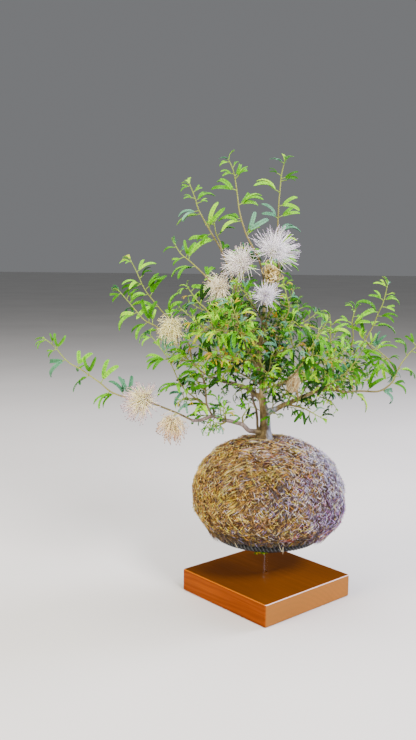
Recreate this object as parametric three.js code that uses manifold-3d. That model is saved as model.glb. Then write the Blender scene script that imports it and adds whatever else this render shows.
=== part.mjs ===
// Moss ball plant: a shrub with paired feathery leaves and powder-puff flowers grows from a fibre-bound
// root ball, which sits in a cord-edged dish on a clear rod above a square wooden block.
// Millimetres, +Z up, -Y to the front. The origin is the centre of the block's underside.
import Module from 'manifold-3d';
import * as THREE from 'three';
import { mergeVertices } from 'three/addons/utils/BufferGeometryUtils.js';

const wasm = await Module();
wasm.setup();

// Driving sizes
const blockSide = 130;
const blockHeight = 24;
const blockEdgeRound = 1.2;
const blockCornerRound = 2.5;
const blockTurn = 41.25;
const clearGap = 0.3;

const rodRadius = 2;
const rodSeat = 6;
const rodSides = 14;

const dishFloorZ = 53;
const dishFloorRadius = 16;
const dishBendRadius = 40;
const dishBendZ = 60.2;
const dishRimRadius = 48.8;
const dishRimStartZ = 68.5;
const dishRimZ = 70.3;
const dishWall = 2.2;
const dishHubRadius = 6;
const dishHubZ = 50.5;
const dishSegments = 24;

const cordRadius = 4;
const cordStrands = 3;
const cordTurns = 10;
const cordStepsPerTurn = 6;
const cordCentreZ = dishRimZ - 0.8;
const cordRingRadius = dishRimRadius + clearGap + 0.2 + cordRadius;

const ballCentreZ = 112.5;
const ballRadius = 81;
const ballHalfHeight = 63;
const ballExponent = 2.15;
const ballSegments = 36;
const ballRows = 11;
const ballRelief = 1.1;
const reliefFromZ = 79;
const fullerBy = 5;
const fullerSide = new THREE.Vector3(0.84, -0.2, -0.5);
// The ball's seat: radius and height from the middle of the dish, out over its rim and the cord.
const ballSeat = [
  [0, 55.6], [15, 55.6], [37.8, 63.1], [45.6, 69.2], [45.8, 71.2], [49.4, 72.9], [53.3, 74.6],
  [57.6, 75.6], [63.2, 78.2], [68.4, 81.7], [73, 86],
];
const ballFreeZ = 90;

const trunkFootZ = 161;
const trunkSides = 9;
const limbSides = 4;

const leafLength = 21.5;
const leafWidth = 5.6;
const leafThickness = 0.9;
const leafStalk = 4;
const leafSpacing = 14.5;
const innerLeafSpacing = 19;
const leafFaceFront = 0.7;
const leafGap = 0.5;
const leafAttempts = 7;
const bareBase = 9;
const twigRootRadius = 1.5;
const sideTwigRootRadius = 1.15;
const twigTipRadius = 0.55;

const stamenRootRadius = 0.75;
const flowerStalkRadius = 1.05;
const curlRadius = 1.1;
const driedFacing = new THREE.Vector3(0.2, -0.8, -0.3);
const puffCoreShare = 0.27;
const seed = 20417;

// Trunk and limbs: places on each centre line and the radius at each end. A limb starts inside its host.
const limbs = {
  trunk: {
    radii: [9.2, 8.6, 6.6, 5.0, 3.9, 3.4, 3.0, 2.7, 2.2, 1.7],
    points: [
      [-4, 0, trunkFootZ], [-4, 0, 175], [-4, 0, 184], [-5, 0, 201], [-7, 0, 217],
      [-8, 2, 233], [-10, 4, 250], [-11, 4, 269], [-9, 2, 289], [-8, 0, 306],
    ],
  },
  lowerLeft: {
    radii: [2.6, 1.6],
    points: [
      [-5, -2, 181], [-21, -12, 185], [-28, -15, 191], [-38, -17, 195], [-51, -19, 198],
      [-61, -20, 202], [-73, -24, 198], [-83, -28, 199],
    ],
  },
  thinStem: {
    radii: [1.7, 1.2],
    points: [[-11, -4, 168], [-12, -5, 186], [-13, -4, 199], [-16, 2, 212], [-20, 8, 225]],
  },
  upperLeft: {
    radii: [2.6, 1.5],
    points: [[-7, 0, 216], [-20, 8, 225], [-33, 14, 230], [-51, 20, 233], [-66, 24, 238]],
  },
  right: {
    radii: [3.1, 1.5],
    points: [
      [-4, 0, 202], [7, -4, 207], [17, -8, 213], [30, -10, 219], [48, -12, 228],
      [63, -14, 230], [78, -18, 228],
    ],
  },
  leaderLeft: {
    radii: [1.7, 1.3],
    points: [[-8, 0, 303], [-7, -4, 327], [-9, -8, 348]],
  },
  leaderRight: {
    radii: [2.0, 1.3],
    points: [[-9, 2, 287], [-1, 6, 310], [5, 10, 333], [8, 12, 358]],
  },
  upperArm: {
    radii: [2.1, 1.3],
    points: [[-11, 4, 267], [-24, 10, 299], [-35, 14, 327], [-44, 12, 354]],
  },
  leftArm: {
    radii: [1.9, 1.2],
    points: [[-11, 4, 262], [-16, 0, 270], [-33, -10, 296], [-50, -18, 323]],
  },
  frontRight: {
    radii: [1.9, 1.3],
    points: [[-7, 0, 220], [8, -24, 236], [20, -50, 250]],
  },
  frontLeft: {
    radii: [1.9, 1.3],
    points: [[-9, 2, 243], [-20, -24, 262], [-30, -50, 282]],
  },
  backRight: {
    radii: [1.9, 1.3],
    points: [[-8, 2, 231], [0, 25, 245], [10, 50, 262]],
  },
  backLeft: {
    radii: [1.9, 1.3],
    points: [[-10, 4, 253], [-22, 28, 270], [-36, 50, 288]],
  },
};

// Leafy shoots: each has one or more twigs, and every twig starts inside the limb or twig that bears it.
const shoots = {
  shoot_top_left: [
    [[-9, -8, 347], [-15, -10, 367], [-25, -8, 385], [-30, -6, 397], [-35, -4, 414],
      [-37, -2, 428], [-39, 0, 442], [-42, 0, 456], [-47, 0, 467]],
  ],
  shoot_top_right: [
    [[8, 12, 357], [7, 10, 380], [6, 8, 398], [6, 6, 419], [7, 4, 437], [8, 2, 452], [11, 0, 466]],
  ],
  shoot_upper_left: [
    [[-44, 12, 353], [-53, 8, 374], [-62, 4, 389], [-71, 0, 404], [-78, -2, 417], [-81, -4, 427],
      [-87, -4, 442]],
    [[-53, 8, 374], [-55, 16, 384], [-59, 20, 392], [-61, 22, 404]],
  ],
  shoot_left_high: [
    [[-50, -18, 322], [-65, -20, 343], [-76, -18, 354], [-86, -16, 363], [-95, -14, 370], [-101, -12, 379]],
  ],
  shoot_left_tall: [
    [[-61, -20, 202], [-67, -19, 214], [-68, -18, 226], [-70, -16, 237], [-74, -14, 247], [-83, -12, 260],
      [-86, -10, 275], [-96, -8, 288], [-105, -6, 300], [-115, -4, 310], [-125, -4, 322], [-132, -4, 331],
      [-137, -2, 340], [-142, 0, 351], [-149, 2, 364]],
    [[-96, -8, 288], [-110, -16, 289], [-121, -20, 296], [-132, -22, 302], [-141, -22, 312], [-149, -20, 321],
      [-158, -18, 331]],
    [[-67, -19, 214], [-74, -22, 217], [-82, -26, 224], [-89, -28, 230], [-96, -30, 240], [-104, -32, 258],
      [-112, -34, 271], [-125, -36, 288]],
  ],
  shoot_left_long: [
    [[-83, -28, 199], [-94, -31, 205], [-107, -34, 211], [-125, -36, 218], [-141, -36, 222], [-154, -34, 224],
      [-167, -32, 229], [-177, -30, 237], [-188, -27, 244], [-199, -24, 251], [-210, -20, 256],
      [-219, -17, 264], [-227, -14, 273], [-238, -12, 281]],
  ],
  shoot_left_inner: [
    [[-33, -10, 296], [-45, -28, 300], [-59, -40, 304], [-69, -42, 316], [-77, -42, 323], [-88, -40, 338]],
    [[-45, -28, 300], [-56, -32, 292], [-68, -32, 291], [-76, -34, 298], [-82, -36, 305], [-95, -36, 316]],
  ],
  shoot_left_back: [
    [[-66, 24, 238], [-76, 30, 244], [-86, 36, 252], [-95, 42, 262], [-104, 48, 272]],
  ],
  shoot_low_sprig: [
    [[-28, -15, 191], [-29, -17, 201], [-23, -18, 210]],
  ],
  shoot_right_tall: [
    [[48, -12, 228], [55, -4, 241], [67, 4, 249], [78, 8, 252], [87, 10, 261], [95, 10, 271], [102, 8, 281],
      [107, 6, 291], [111, 4, 301], [114, 2, 311], [118, 0, 321], [122, 0, 340]],
    [[87, 10, 261], [87, 6, 273], [88, 2, 286], [86, 0, 301], [89, -2, 315]],
    [[67, 4, 249], [65, 0, 265], [63, -6, 282], [62, -8, 297], [61, -8, 308]],
    [[102, 8, 281], [109, 8, 272], [118, 6, 265], [127, 4, 256], [131, 4, 245]],
  ],
  shoot_right_long: [
    [[78, -18, 228], [93, -20, 230], [111, -22, 230], [121, -22, 235], [128, -20, 242], [131, -18, 249],
      [135, -16, 257], [141, -14, 265], [149, -10, 273], [158, -8, 280], [165, -6, 286]],
    [[131, -18, 249], [123, -22, 262], [115, -24, 269], [106, -26, 276], [94, -28, 285]],
  ],
  shoot_right_middle: [
    [[66, -15, 230], [78, -10, 237], [91, -8, 241], [106, -8, 246]],
  ],
  shoot_right_low: [
    [[17, -8, 213], [27, -20, 213], [35, -28, 212], [44, -34, 208], [52, -38, 204]],
  ],
  shoot_right_inner: [
    [[19, -8, 214], [24, -2, 224], [31, 0, 233], [38, 2, 240], [48, 6, 252]],
    [[38, 2, 240], [33, 4, 250], [26, 6, 258]],
  ],
  shoot_middle_front: [
    [[-9, 2, 287], [4, -6, 296], [13, -14, 304], [17, -18, 314], [15, -18, 326], [11, -16, 341]],
  ],
  shoot_front_right: [
    [[20, -50, 250], [26, -68, 264], [32, -84, 280], [38, -96, 294], [44, -106, 308]],
    [[26, -68, 264], [40, -76, 266], [54, -82, 272], [66, -84, 281]],
  ],
  shoot_front_left: [
    [[-30, -50, 282], [-34, -66, 297], [-40, -82, 312], [-46, -94, 328]],
    [[-34, -66, 297], [-50, -74, 296], [-64, -80, 299], [-77, -85, 305]],
  ],
  shoot_back_right: [
    [[10, 50, 262], [14, 70, 282], [20, 86, 298], [28, 98, 313], [34, 106, 330]],
    [[14, 70, 282], [30, 78, 287], [46, 84, 294], [60, 88, 304]],
  ],
  shoot_back_left: [
    [[-36, 50, 288], [-46, 70, 306], [-54, 84, 323], [-60, 94, 341]],
    [[-46, 70, 306], [-60, 74, 305], [-76, 78, 308], [-88, 82, 315]],
  ],
  shoot_right_back: [
    [[31, -10, 219], [41, 12, 230], [52, 34, 243], [62, 50, 256], [72, 62, 268], [80, 72, 283]],
  ],
  shoot_right_front: [
    [[49, -12, 228], [58, -30, 237], [70, -44, 249], [80, -54, 263], [88, -60, 278]],
  ],
  shoot_left_front: [
    [[-20, -24, 262], [-36, -38, 262], [-54, -50, 268], [-70, -60, 276], [-84, -68, 287]],
  ],
  shoot_upper_back: [
    [[5, 10, 334], [11, 28, 346], [14, 44, 361], [19, 56, 377]],
  ],
  shoot_crown_back: [
    [[-35, 14, 328], [-30, 32, 344], [-26, 46, 360], [-24, 56, 378]],
  ],
};

// The shoots that reach the crown's outline have closer leaves with a finer arch.
const outlineShoots = ['shoot_top_left', 'shoot_top_right', 'shoot_upper_left', 'shoot_left_high',
  'shoot_left_tall', 'shoot_left_long', 'shoot_right_tall', 'shoot_right_long'];

// Short shoots round the middle of the crown, spread by the golden angle up the trunk.
const innerShoots = {
  count: 14,
  lowestZ: 226,
  highestZ: 318,
  shortest: 52,
  longest: 84,
  goldenAngle: 137.5,
};

// Flowers: the host that bears each one, its stalk, its radius and the way that it faces.
const flowers = {
  flower_puff_1: { host: 'limbs', radius: 28, faces: [0.3, -0.35, 0.85], reach: -0.15, stamens: 31,
    stalk: [[-8, -6, 338], [-5, -14, 353], [0, -10, 373]] },
  flower_puff_2: { host: 'limbs', radius: 24, faces: [-0.5, -0.5, 0.5], reach: -0.25, stamens: 26,
    stalk: [[-41, -14, 309], [-38, -20, 334], [-33, -19, 361]] },
  flower_puff_3: { host: 'limbs', radius: 20, faces: [-0.6, -0.6, 0.1], reach: -0.2, stamens: 24,
    stalk: [[-49, -17, 321], [-51, -25, 329], [-54, -30, 338]] },
  flower_puff_4: { host: 'limbs', radius: 17, faces: [0.1, -0.9, 0.3], reach: -0.1, stamens: 20,
    stalk: [[-7, -3, 322], [-8, -18, 322], [-8, -31, 329]] },
  flower_puff_5: { host: 'shoot_left_tall', radius: 20, faces: [0, -0.7, -0.4], reach: -0.45, stamens: 26,
    stalk: [[-100, -7, 293], [-104, -14, 297], [-104, -21, 298]] },
  flower_puff_6: { host: 'shoot_left_long', radius: 23, faces: [-0.3, -0.6, 0.3], reach: -0.45, stamens: 26,
    stalk: [[-125, -36, 218], [-128, -43, 222], [-131, -49, 223]] },
  flower_puff_7: { host: 'shoot_left_long', radius: 18, faces: [-0.2, -0.6, -0.5], reach: -0.2, stamens: 24,
    stalk: [[-97, -32, 206], [-100, -38, 206], [-102, -44, 203]] },
};

const driedFlowers = {
  dried_flower_1: { radius: 12, curls: 9, stalk: [[-8, -5, 334], [-5, -14, 342], [-2, -22, 351]] },
  dried_flower_2: { radius: 9, curls: 8, stalk: [[30, -10, 219], [28, -16, 227], [23, -20, 237]] },
};

const colours = {
  wood: { color: 0x7a4a22, roughness: 0.35, metalness: 0 },
  clear: { color: 0xdfe8ea, roughness: 0.05, metalness: 0 },
  dish: { color: 0x16171a, roughness: 0.45, metalness: 0 },
  cord: { color: 0x1b1c20, roughness: 0.6, metalness: 0 },
  fibre: { color: 0x9a7a45, roughness: 0.95, metalness: 0 },
  bark: { color: 0x8a7a66, roughness: 0.9, metalness: 0 },
  leaf: { color: 0x7cc22a, roughness: 0.5, metalness: 0 },
  petal: { color: 0xf3efe2, roughness: 0.8, metalness: 0 },
  dried: { color: 0xb5763a, roughness: 0.9, metalness: 0 },
};

// Numbers and vectors

function seededRandom(start) {
  let state = start;
  return () => {
    state = (state * 16807) % 2147483647;
    return state / 2147483647;
  };
}

const random = seededRandom(seed);

function between(low, high) {
  return low + (high - low) * random();
}

function vector(values) {
  return new THREE.Vector3(...values);
}

function mixed(a, b, share) {
  return new THREE.Vector3().lerpVectors(a, b, share);
}

function turned(v, axis, degrees) {
  return v.clone().applyAxisAngle(axis, THREE.MathUtils.degToRad(degrees));
}

function across(direction, reference) {
  const part = reference.clone().addScaledVector(direction, -reference.dot(direction));
  return part.normalize();
}

// Solids

function joinRings(faces, a, b) {
  const count = Math.max(a.length, b.length);
  for (let i = 0; i < count; i++) {
    const j = (i + 1) % count;
    const a0 = a[i % a.length];
    const a1 = a[j % a.length];
    const b0 = b[i % b.length];
    const b1 = b[j % b.length];
    if (a0 !== a1) {
      faces.push(a0, a1, b1);
    }
    if (b0 !== b1) {
      faces.push(a0, b1, b0);
    }
  }
}

function capRing(faces, ring, facesForward) {
  for (let i = 1; i + 1 < ring.length; i++) {
    const pair = facesForward ? [ring[i], ring[i + 1]] : [ring[i + 1], ring[i]];
    faces.push(ring[0], ...pair);
  }
}

function solidFrom(points, faces) {
  const vertProperties = new Float32Array(points.flatMap((p) => [p.x, p.y, p.z]));
  return new wasm.Manifold(new wasm.Mesh({ numProp: 3, vertProperties, triVerts: new Uint32Array(faces) }));
}

// A body through rings of points, which run counter-clockwise about the way from first to last.
function lofted(rings, closed = false) {
  const points = rings.flat();
  const faces = [];
  let start = 0;
  const numbered = rings.map((ring) => ring.map(() => start++));
  for (let k = 0; k + 1 < numbered.length; k++) {
    joinRings(faces, numbered[k], numbered[k + 1]);
  }
  if (closed) {
    joinRings(faces, numbered[numbered.length - 1], numbered[0]);
  } else {
    capRing(faces, numbered[0], false);
    capRing(faces, numbered[numbered.length - 1], true);
  }
  return solidFrom(points, faces);
}

function solidOf(geometry) {
  const bare = geometry.clone();
  bare.deleteAttribute('normal');
  bare.deleteAttribute('uv');
  const merged = mergeVertices(bare, 1e-4);
  const vertProperties = new Float32Array(merged.attributes.position.array);
  const triVerts = new Uint32Array(merged.index.array);
  return new wasm.Manifold(new wasm.Mesh({ numProp: 3, vertProperties, triVerts }));
}

function geometryOf(solid) {
  const mesh = solid.getMesh();
  const geometry = new THREE.BufferGeometry();
  geometry.setAttribute('position', new THREE.BufferAttribute(new Float32Array(mesh.vertProperties), 3));
  geometry.setIndex(new THREE.BufferAttribute(new Uint32Array(mesh.triVerts), 1));
  return geometry;
}

function largestPiece(solid) {
  const pieces = solid.decompose();
  return pieces.reduce((best, piece) => (piece.volume() > best.volume() ? piece : best));
}

function upright(geometry) {
  return geometry.rotateX(Math.PI / 2);
}

// Stems

function stemDirections(points) {
  return points.map((point, i) => {
    const before = points[Math.max(i - 1, 0)];
    const after = points[Math.min(i + 1, points.length - 1)];
    return after.clone().sub(before).normalize();
  });
}

function stemRings(points, radii, sides, unevenness = 0) {
  const directions = stemDirections(points);
  let side = across(directions[0], Math.abs(directions[0].x) < 0.8 ? new THREE.Vector3(1, 0, 0)
    : new THREE.Vector3(0, 1, 0));
  return points.map((point, k) => {
    side = across(directions[k], side);
    const other = new THREE.Vector3().crossVectors(directions[k], side);
    return Array.from({ length: sides }, (_, i) => {
      const angle = (2 * Math.PI * i) / sides;
      const radius = radii[k] * (1 + unevenness * Math.cos(3 * angle + 1.7 * k));
      return point.clone().addScaledVector(side, radius * Math.cos(angle))
        .addScaledVector(other, radius * Math.sin(angle));
    });
  });
}

function evenRadii(count, first, last) {
  return Array.from({ length: count }, (_, i) => first + ((last - first) * i) / (count - 1));
}

function stemSolid(points, radii, sides, unevenness = 0) {
  return lofted(stemRings(points, radii, sides, unevenness));
}

function twigSolid(points, radii) {
  const rings = stemRings(points, radii, 3);
  rings[rings.length - 1] = [points[points.length - 1]];
  return lofted(rings);
}

// The same stem grown on all sides and at both ends, which clears what is cut by it.
function grownStem(points, radii, sides, growth, unevenness = 0) {
  const first = points[0].clone().sub(points[1]).setLength(growth).add(points[0]);
  const end = points.length - 1;
  const last = points[end].clone().sub(points[end - 1]).setLength(growth).add(points[end]);
  const path = [first, ...points.slice(1, end), last];
  return stemSolid(path, radii.map((radius) => radius + growth), sides, unevenness);
}

// Clearance: every stem, blade and stamen is kept as a round-ended rod, and new ones keep off the others.

const rods = [];

function addRods(owner, points, radii, kind) {
  for (let i = 0; i + 1 < points.length; i++) {
    rods.push({ owner, kind, a: points[i], b: points[i + 1], radius: Math.max(radii[i], radii[i + 1]) });
  }
}

function clamped(value) {
  return Math.min(1, Math.max(0, value));
}

function rodDistance(p1, q1, p2, q2) {
  const d1 = q1.clone().sub(p1);
  const d2 = q2.clone().sub(p2);
  const r = p1.clone().sub(p2);
  const a = Math.max(d1.dot(d1), 1e-9);
  const e = Math.max(d2.dot(d2), 1e-9);
  const b = d1.dot(d2);
  const c = d1.dot(r);
  const f = d2.dot(r);
  const denominator = a * e - b * b;
  let s = denominator > 1e-9 ? clamped((b * f - c * e) / denominator) : 0;
  let t = (b * s + f) / e;
  if (t < 0 || t > 1) {
    t = clamped(t);
    s = clamped((b * t - c) / a);
  }
  const near1 = p1.clone().addScaledVector(d1, s);
  const near2 = p2.clone().addScaledVector(d2, t);
  return near1.distanceTo(near2);
}

// The first stretch may start in its own twig, or in a host of the kind that is named.
function keepsClear(owner, points, radii, sameOwnerShare, gap, rootKind = null) {
  for (let i = 0; i + 1 < points.length; i++) {
    const radius = Math.max(radii[i], radii[i + 1]);
    for (const rod of rods) {
      const own = rod.owner === owner;
      const rooted = i === 0 && (own ? rod.kind === 'twig' : rod.kind === rootKind);
      const room = own ? (radius + rod.radius) * sameOwnerShare : radius + rod.radius + gap;
      if (!rooted && rodDistance(points[i], points[i + 1], rod.a, rod.b) < room) {
        return false;
      }
    }
  }
  return true;
}

// Leaves

// A blade's middle line rises from the fork and then arches down.
const bladeShapes = {
  full: { shares: [0.32, 0.42, 0.26], tilts: [24, -10, -48], outer: [0.42, 0.54], inner: [0.52, 0.4] },
  plain: { shares: [0.5, 0.5], tilts: [16, -34], outer: [0.5], inner: [0.46] },
};

function bladeLine(apex, heading, face, length, droop, shape) {
  const places = [apex];
  const faces = [];
  shape.shares.forEach((share, i) => {
    const tilt = THREE.MathUtils.degToRad(shape.tilts[i] * droop);
    const step = heading.clone().multiplyScalar(Math.cos(tilt)).addScaledVector(face, Math.sin(tilt));
    places.push(places[i].clone().addScaledVector(step, length * share));
    faces.push(across(step, face));
  });
  return { places, faces };
}

function leafParts(site) {
  const { apex, along, face, length, spread, droop, shape } = site;
  const headings = [-spread, spread].map((angle) => turned(along, face, angle));
  const right = bladeLine(apex, headings[0], face, length, droop, shape);
  const left = bladeLine(apex, headings[1], face, length, droop * 0.9, shape);
  return { right, left };
}

// A leaf's stalk and its two blades meet at a small hub, so the leaf is one closed body.
function leafSolid(site) {
  const { foot, apex, along, face, length, shape } = site;
  const side = new THREE.Vector3().crossVectors(along, face);
  const scale = Math.min(1, length / leafLength);
  const width = leafWidth * Math.sqrt(scale);
  const points = [
    apex.clone().addScaledVector(face, leafThickness),
    apex.clone().addScaledVector(along, 1.1),
    apex.clone().addScaledVector(along, -0.5).addScaledVector(side, -0.8),
    apex.clone().addScaledVector(along, -0.5).addScaledVector(side, 0.8),
  ];
  const [top, crotch, backLeft, backRight] = [0, 1, 2, 3];
  const faces = [backLeft, crotch, backRight];
  const add = (point) => points.push(point) - 1;
  const addBlade = (line, root, outward) => {
    let ring = root;
    for (let k = 1; k < line.places.length - 1; k++) {
      const way = line.places[k + 1].clone().sub(line.places[k - 1]).normalize();
      const up = across(way, line.faces[k - 1]);
      const wide = new THREE.Vector3().crossVectors(up, way);
      const near = width * (outward ? shape.outer[k - 1] : shape.inner[k - 1]);
      const far = width * (outward ? shape.inner[k - 1] : shape.outer[k - 1]);
      const next = [
        add(line.places[k].clone().addScaledVector(wide, near)),
        add(line.places[k].clone().addScaledVector(up, leafThickness)),
        add(line.places[k].clone().addScaledVector(wide, -far)),
      ];
      joinRings(faces, ring, next);
      ring = next;
    }
    joinRings(faces, ring, [add(line.places[line.places.length - 1])]);
  };
  const { right, left } = leafParts(site);
  addBlade(right, [crotch, top, backRight], false);
  addBlade(left, [backLeft, top, crotch], true);
  const footRing = [
    add(foot.clone().addScaledVector(side, 0.42)),
    add(foot.clone().addScaledVector(face, 0.42)),
    add(foot.clone().addScaledVector(side, -0.42)),
  ];
  joinRings(faces, [backRight, top, backLeft], footRing);
  capRing(faces, footRing, true);
  return solidFrom(points, faces);
}

function pathLength(points) {
  return points.slice(1).reduce((sum, point, i) => sum + point.distanceTo(points[i]), 0);
}

function placeAlong(points, distance) {
  let rest = distance;
  for (let i = 0; i + 1 < points.length; i++) {
    const step = points[i + 1].clone().sub(points[i]);
    const length = step.length();
    if (rest <= length || i + 2 === points.length) {
      return { place: points[i].clone().addScaledVector(step, rest / length), direction: step.normalize() };
    }
    rest -= length;
  }
  return null;
}

const up = new THREE.Vector3(0, 0, 1);
const front = new THREE.Vector3(0, -1, 0);

// Leaves stand alternately to the two sides of a twig, lean towards its tip and are small near it.
function leafSite(twig, distance, order, shape, attempt) {
  const { place, direction } = placeAlong(twig, distance);
  const headOn = direction.y * direction.y;
  const outward = across(direction, front.clone().multiplyScalar(1 - headOn).addScaledVector(up, headOn));
  const alternate = new THREE.Vector3().crossVectors(direction, outward).multiplyScalar(order % 2 ? 1 : -1);
  const side = turned(alternate, direction, between(-38, 38) + attempt * 29);
  const along = side.multiplyScalar(0.9).addScaledVector(direction, between(0.15, 0.6));
  along.normalize();
  const level = across(along, up.clone().addScaledVector(front, leafFaceFront));
  const face = turned(level, along, between(-32, 32));
  const growth = Math.min(1, 0.5 + 0.25 * order);
  const length = leafLength * growth * between(0.88, 1.12) * (1 - 0.05 * attempt);
  const stalk = leafStalk * growth * between(0.8, 1.3) + 1;
  const apex = place.clone().addScaledVector(along, stalk);
  return { foot: place, apex, along, face, length, spread: between(15, 28), droop: between(0.7, 1.3), shape };
}

function clearOfBall(point) {
  const flat = Math.hypot(point.x, point.y) / (ballRadius + 4);
  const tall = Math.abs(point.z - ballCentreZ) / (ballHalfHeight + 5);
  return flat ** ballExponent + tall ** ballExponent > 1;
}

const stalkRadii = [0.6, 0.6];

function bladeRadii(count) {
  return Array.from({ length: count }, (_, i) => (i === 0 || i === count - 1 ? 1.2 : leafWidth * 0.47));
}

function leafFits(owner, site) {
  const { right, left } = leafParts(site);
  const blades = [right.places, left.places];
  const open = blades.every((places) => places.every(clearOfBall)
    && keepsClear(owner, places, bladeRadii(places.length), 0.5, leafGap));
  return open && keepsClear(owner, [site.foot, site.apex], stalkRadii, 0, leafGap) ? blades : null;
}

function leavesOn(owner, twig, spacing, shape) {
  const solids = [];
  const total = pathLength(twig);
  let order = 0;
  for (let back = 2.5; back < total - bareBase; back += spacing * between(0.88, 1.12)) {
    for (let attempt = 0; attempt < leafAttempts; attempt++) {
      const site = leafSite(twig, total - back, order, shape, attempt);
      const blades = leafFits(owner, site);
      if (blades) {
        blades.forEach((places) => addRods(owner, places, bladeRadii(places.length), 'leaf'));
        addRods(owner, [site.foot, site.apex], stalkRadii, 'leaf');
        solids.push(leafSolid(site));
        break;
      }
    }
    order++;
  }
  return solids;
}

// Flowers

function scattered(axis, count, reach) {
  const side = across(axis, Math.abs(axis.z) < 0.9 ? up : front);
  const other = new THREE.Vector3().crossVectors(axis, side);
  return Array.from({ length: count }, (_, i) => {
    const height = 1 - ((1 - reach) * (i + 0.5)) / count;
    const flat = Math.sqrt(1 - height * height);
    const angle = i * 2.39996;
    return axis.clone().multiplyScalar(height).addScaledVector(side, flat * Math.cos(angle))
      .addScaledVector(other, flat * Math.sin(angle));
  });
}

function coreSolid(centre, radius) {
  return solidOf(new THREE.IcosahedronGeometry(radius, 0).translate(centre.x, centre.y, centre.z));
}

function stalkSizes(path) {
  return evenRadii(path.length, flowerStalkRadius * 0.9, flowerStalkRadius);
}

function needleSolid(places, radius) {
  return twigSolid(places, evenRadii(places.length, radius, radius * 0.6));
}

function puffSolid(name, { radius, faces, reach, stamens, stalk }) {
  const path = stalk.map(vector);
  const centre = path[path.length - 1];
  const coreRadius = radius * puffCoreShare;
  const solids = [stemSolid(path, stalkSizes(path), 3), coreSolid(centre, coreRadius)];
  scattered(vector(faces).normalize(), stamens, reach).forEach((way) => {
    const root = centre.clone().addScaledVector(way, coreRadius * 0.4);
    const tip = centre.clone().addScaledVector(way, radius * between(0.84, 1.06));
    const shaft = centre.clone().addScaledVector(way, coreRadius);
    if (keepsClear(name, [shaft, tip], [stamenRootRadius, 0], 0, clearGap)) {
      addRods(name, [shaft, tip], [stamenRootRadius, 0], 'stamen');
      solids.push(needleSolid([root, tip], stamenRootRadius));
    }
  });
  return wasm.Manifold.union(solids);
}

function driedSolid({ radius, curls, stalk }) {
  const path = stalk.map(vector);
  const centre = path[path.length - 1];
  const solids = [stemSolid(path, stalkSizes(path), 3), coreSolid(centre, radius * 0.4)];
  scattered(driedFacing.clone().normalize(), curls, -0.9).forEach((way) => {
    const places = [0.2, 0.62, 0.95].map((share) => centre.clone().addScaledVector(way, radius * share));
    places[1].z += radius * 0.12;
    places[2].z -= radius * 0.3;
    solids.push(needleSolid(places, curlRadius));
  });
  return wasm.Manifold.union(solids);
}

// Block, rod, dish, cord and ball

function lathed(profile, segments) {
  const points = profile.map(([radius, height]) => new THREE.Vector2(radius, height));
  return new THREE.LatheGeometry(points, segments).rotateX(Math.PI / 2);
}

function cylinder(radius, bottom, top) {
  const geometry = new THREE.CylinderGeometry(radius, radius, top - bottom, rodSides);
  return upright(geometry).translate(0, 0, (bottom + top) / 2);
}

function blockSolid() {
  const half = blockSide / 2;
  const corner = blockCornerRound;
  const outline = new THREE.Shape();
  outline.moveTo(-half + corner, -half);
  [[1, -1], [1, 1], [-1, 1], [-1, -1]].forEach(([x, y], i) => {
    const centreX = x * (half - corner);
    const centreY = y * (half - corner);
    outline.absarc(centreX, centreY, corner, ((i - 1) * Math.PI) / 2, (i * Math.PI) / 2, false);
  });
  const geometry = new THREE.ExtrudeGeometry(outline, {
    depth: blockHeight - 2 * blockEdgeRound,
    bevelThickness: blockEdgeRound,
    bevelSize: blockEdgeRound,
    bevelOffset: -blockEdgeRound,
    bevelSegments: 1,
    curveSegments: 2,
  });
  geometry.translate(0, 0, blockEdgeRound).rotateZ(THREE.MathUtils.degToRad(blockTurn));
  const socket = cylinder(rodRadius + clearGap, blockHeight - rodSeat - clearGap, blockHeight + 1);
  return solidOf(geometry).subtract(solidOf(socket));
}

const hubHoleZ = dishFloorZ + 1.2;

function rodSolid() {
  return solidOf(cylinder(rodRadius, blockHeight - rodSeat, hubHoleZ - clearGap));
}

function dishSolid() {
  const hole = rodRadius + clearGap;
  const inner = dishRimRadius - dishWall;
  const floorTop = dishFloorZ + dishWall;
  const profile = [
    [0, hubHoleZ], [hole, hubHoleZ], [hole, dishHubZ], [dishHubRadius, dishHubZ],
    [dishHubRadius + 1, dishFloorZ],
    [dishFloorRadius, dishFloorZ], [dishBendRadius, dishBendZ], [dishRimRadius, dishRimStartZ],
    [dishRimRadius, dishRimZ], [inner, dishRimZ], [inner, dishRimStartZ + 0.5],
    [dishBendRadius - 1.4, dishBendZ + 2.4], [dishFloorRadius - 0.6, floorTop], [0, floorTop],
  ];
  return solidOf(lathed(profile, dishSegments));
}

function cordSolid() {
  const steps = cordTurns * cordStepsPerTurn;
  const rings = Array.from({ length: steps }, (_, k) => {
    const round = (2 * Math.PI * k) / steps;
    const twist = round * cordTurns;
    return Array.from({ length: 2 * cordStrands }, (_, j) => {
      const angle = twist + (Math.PI * j) / cordStrands;
      const radius = cordRadius * (j % 2 ? 0.8 : 1);
      const out = cordRingRadius + radius * Math.sin(angle);
      return new THREE.Vector3(out * Math.cos(round), out * Math.sin(round),
        cordCentreZ + radius * Math.cos(angle));
    });
  });
  return lofted(rings, true);
}

// Low ridges where bundles of fibre cross, and a fuller side low on the right.
function fibreRelief(p, way) {
  const fuller = Math.max(0, way.dot(fullerSide)) ** 6;
  const first = Math.sin(0.13 * p.x + 0.21 * p.z + 0.05 * p.y);
  const second = Math.sin(0.19 * p.x - 0.14 * p.z + 0.11 * p.y + 1.3);
  const third = Math.sin(0.09 * p.x + 0.17 * p.y + 0.2 * p.z + 2.1);
  return ballRelief * (first * second + 0.6 * third) + fullerBy * fuller;
}

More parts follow.
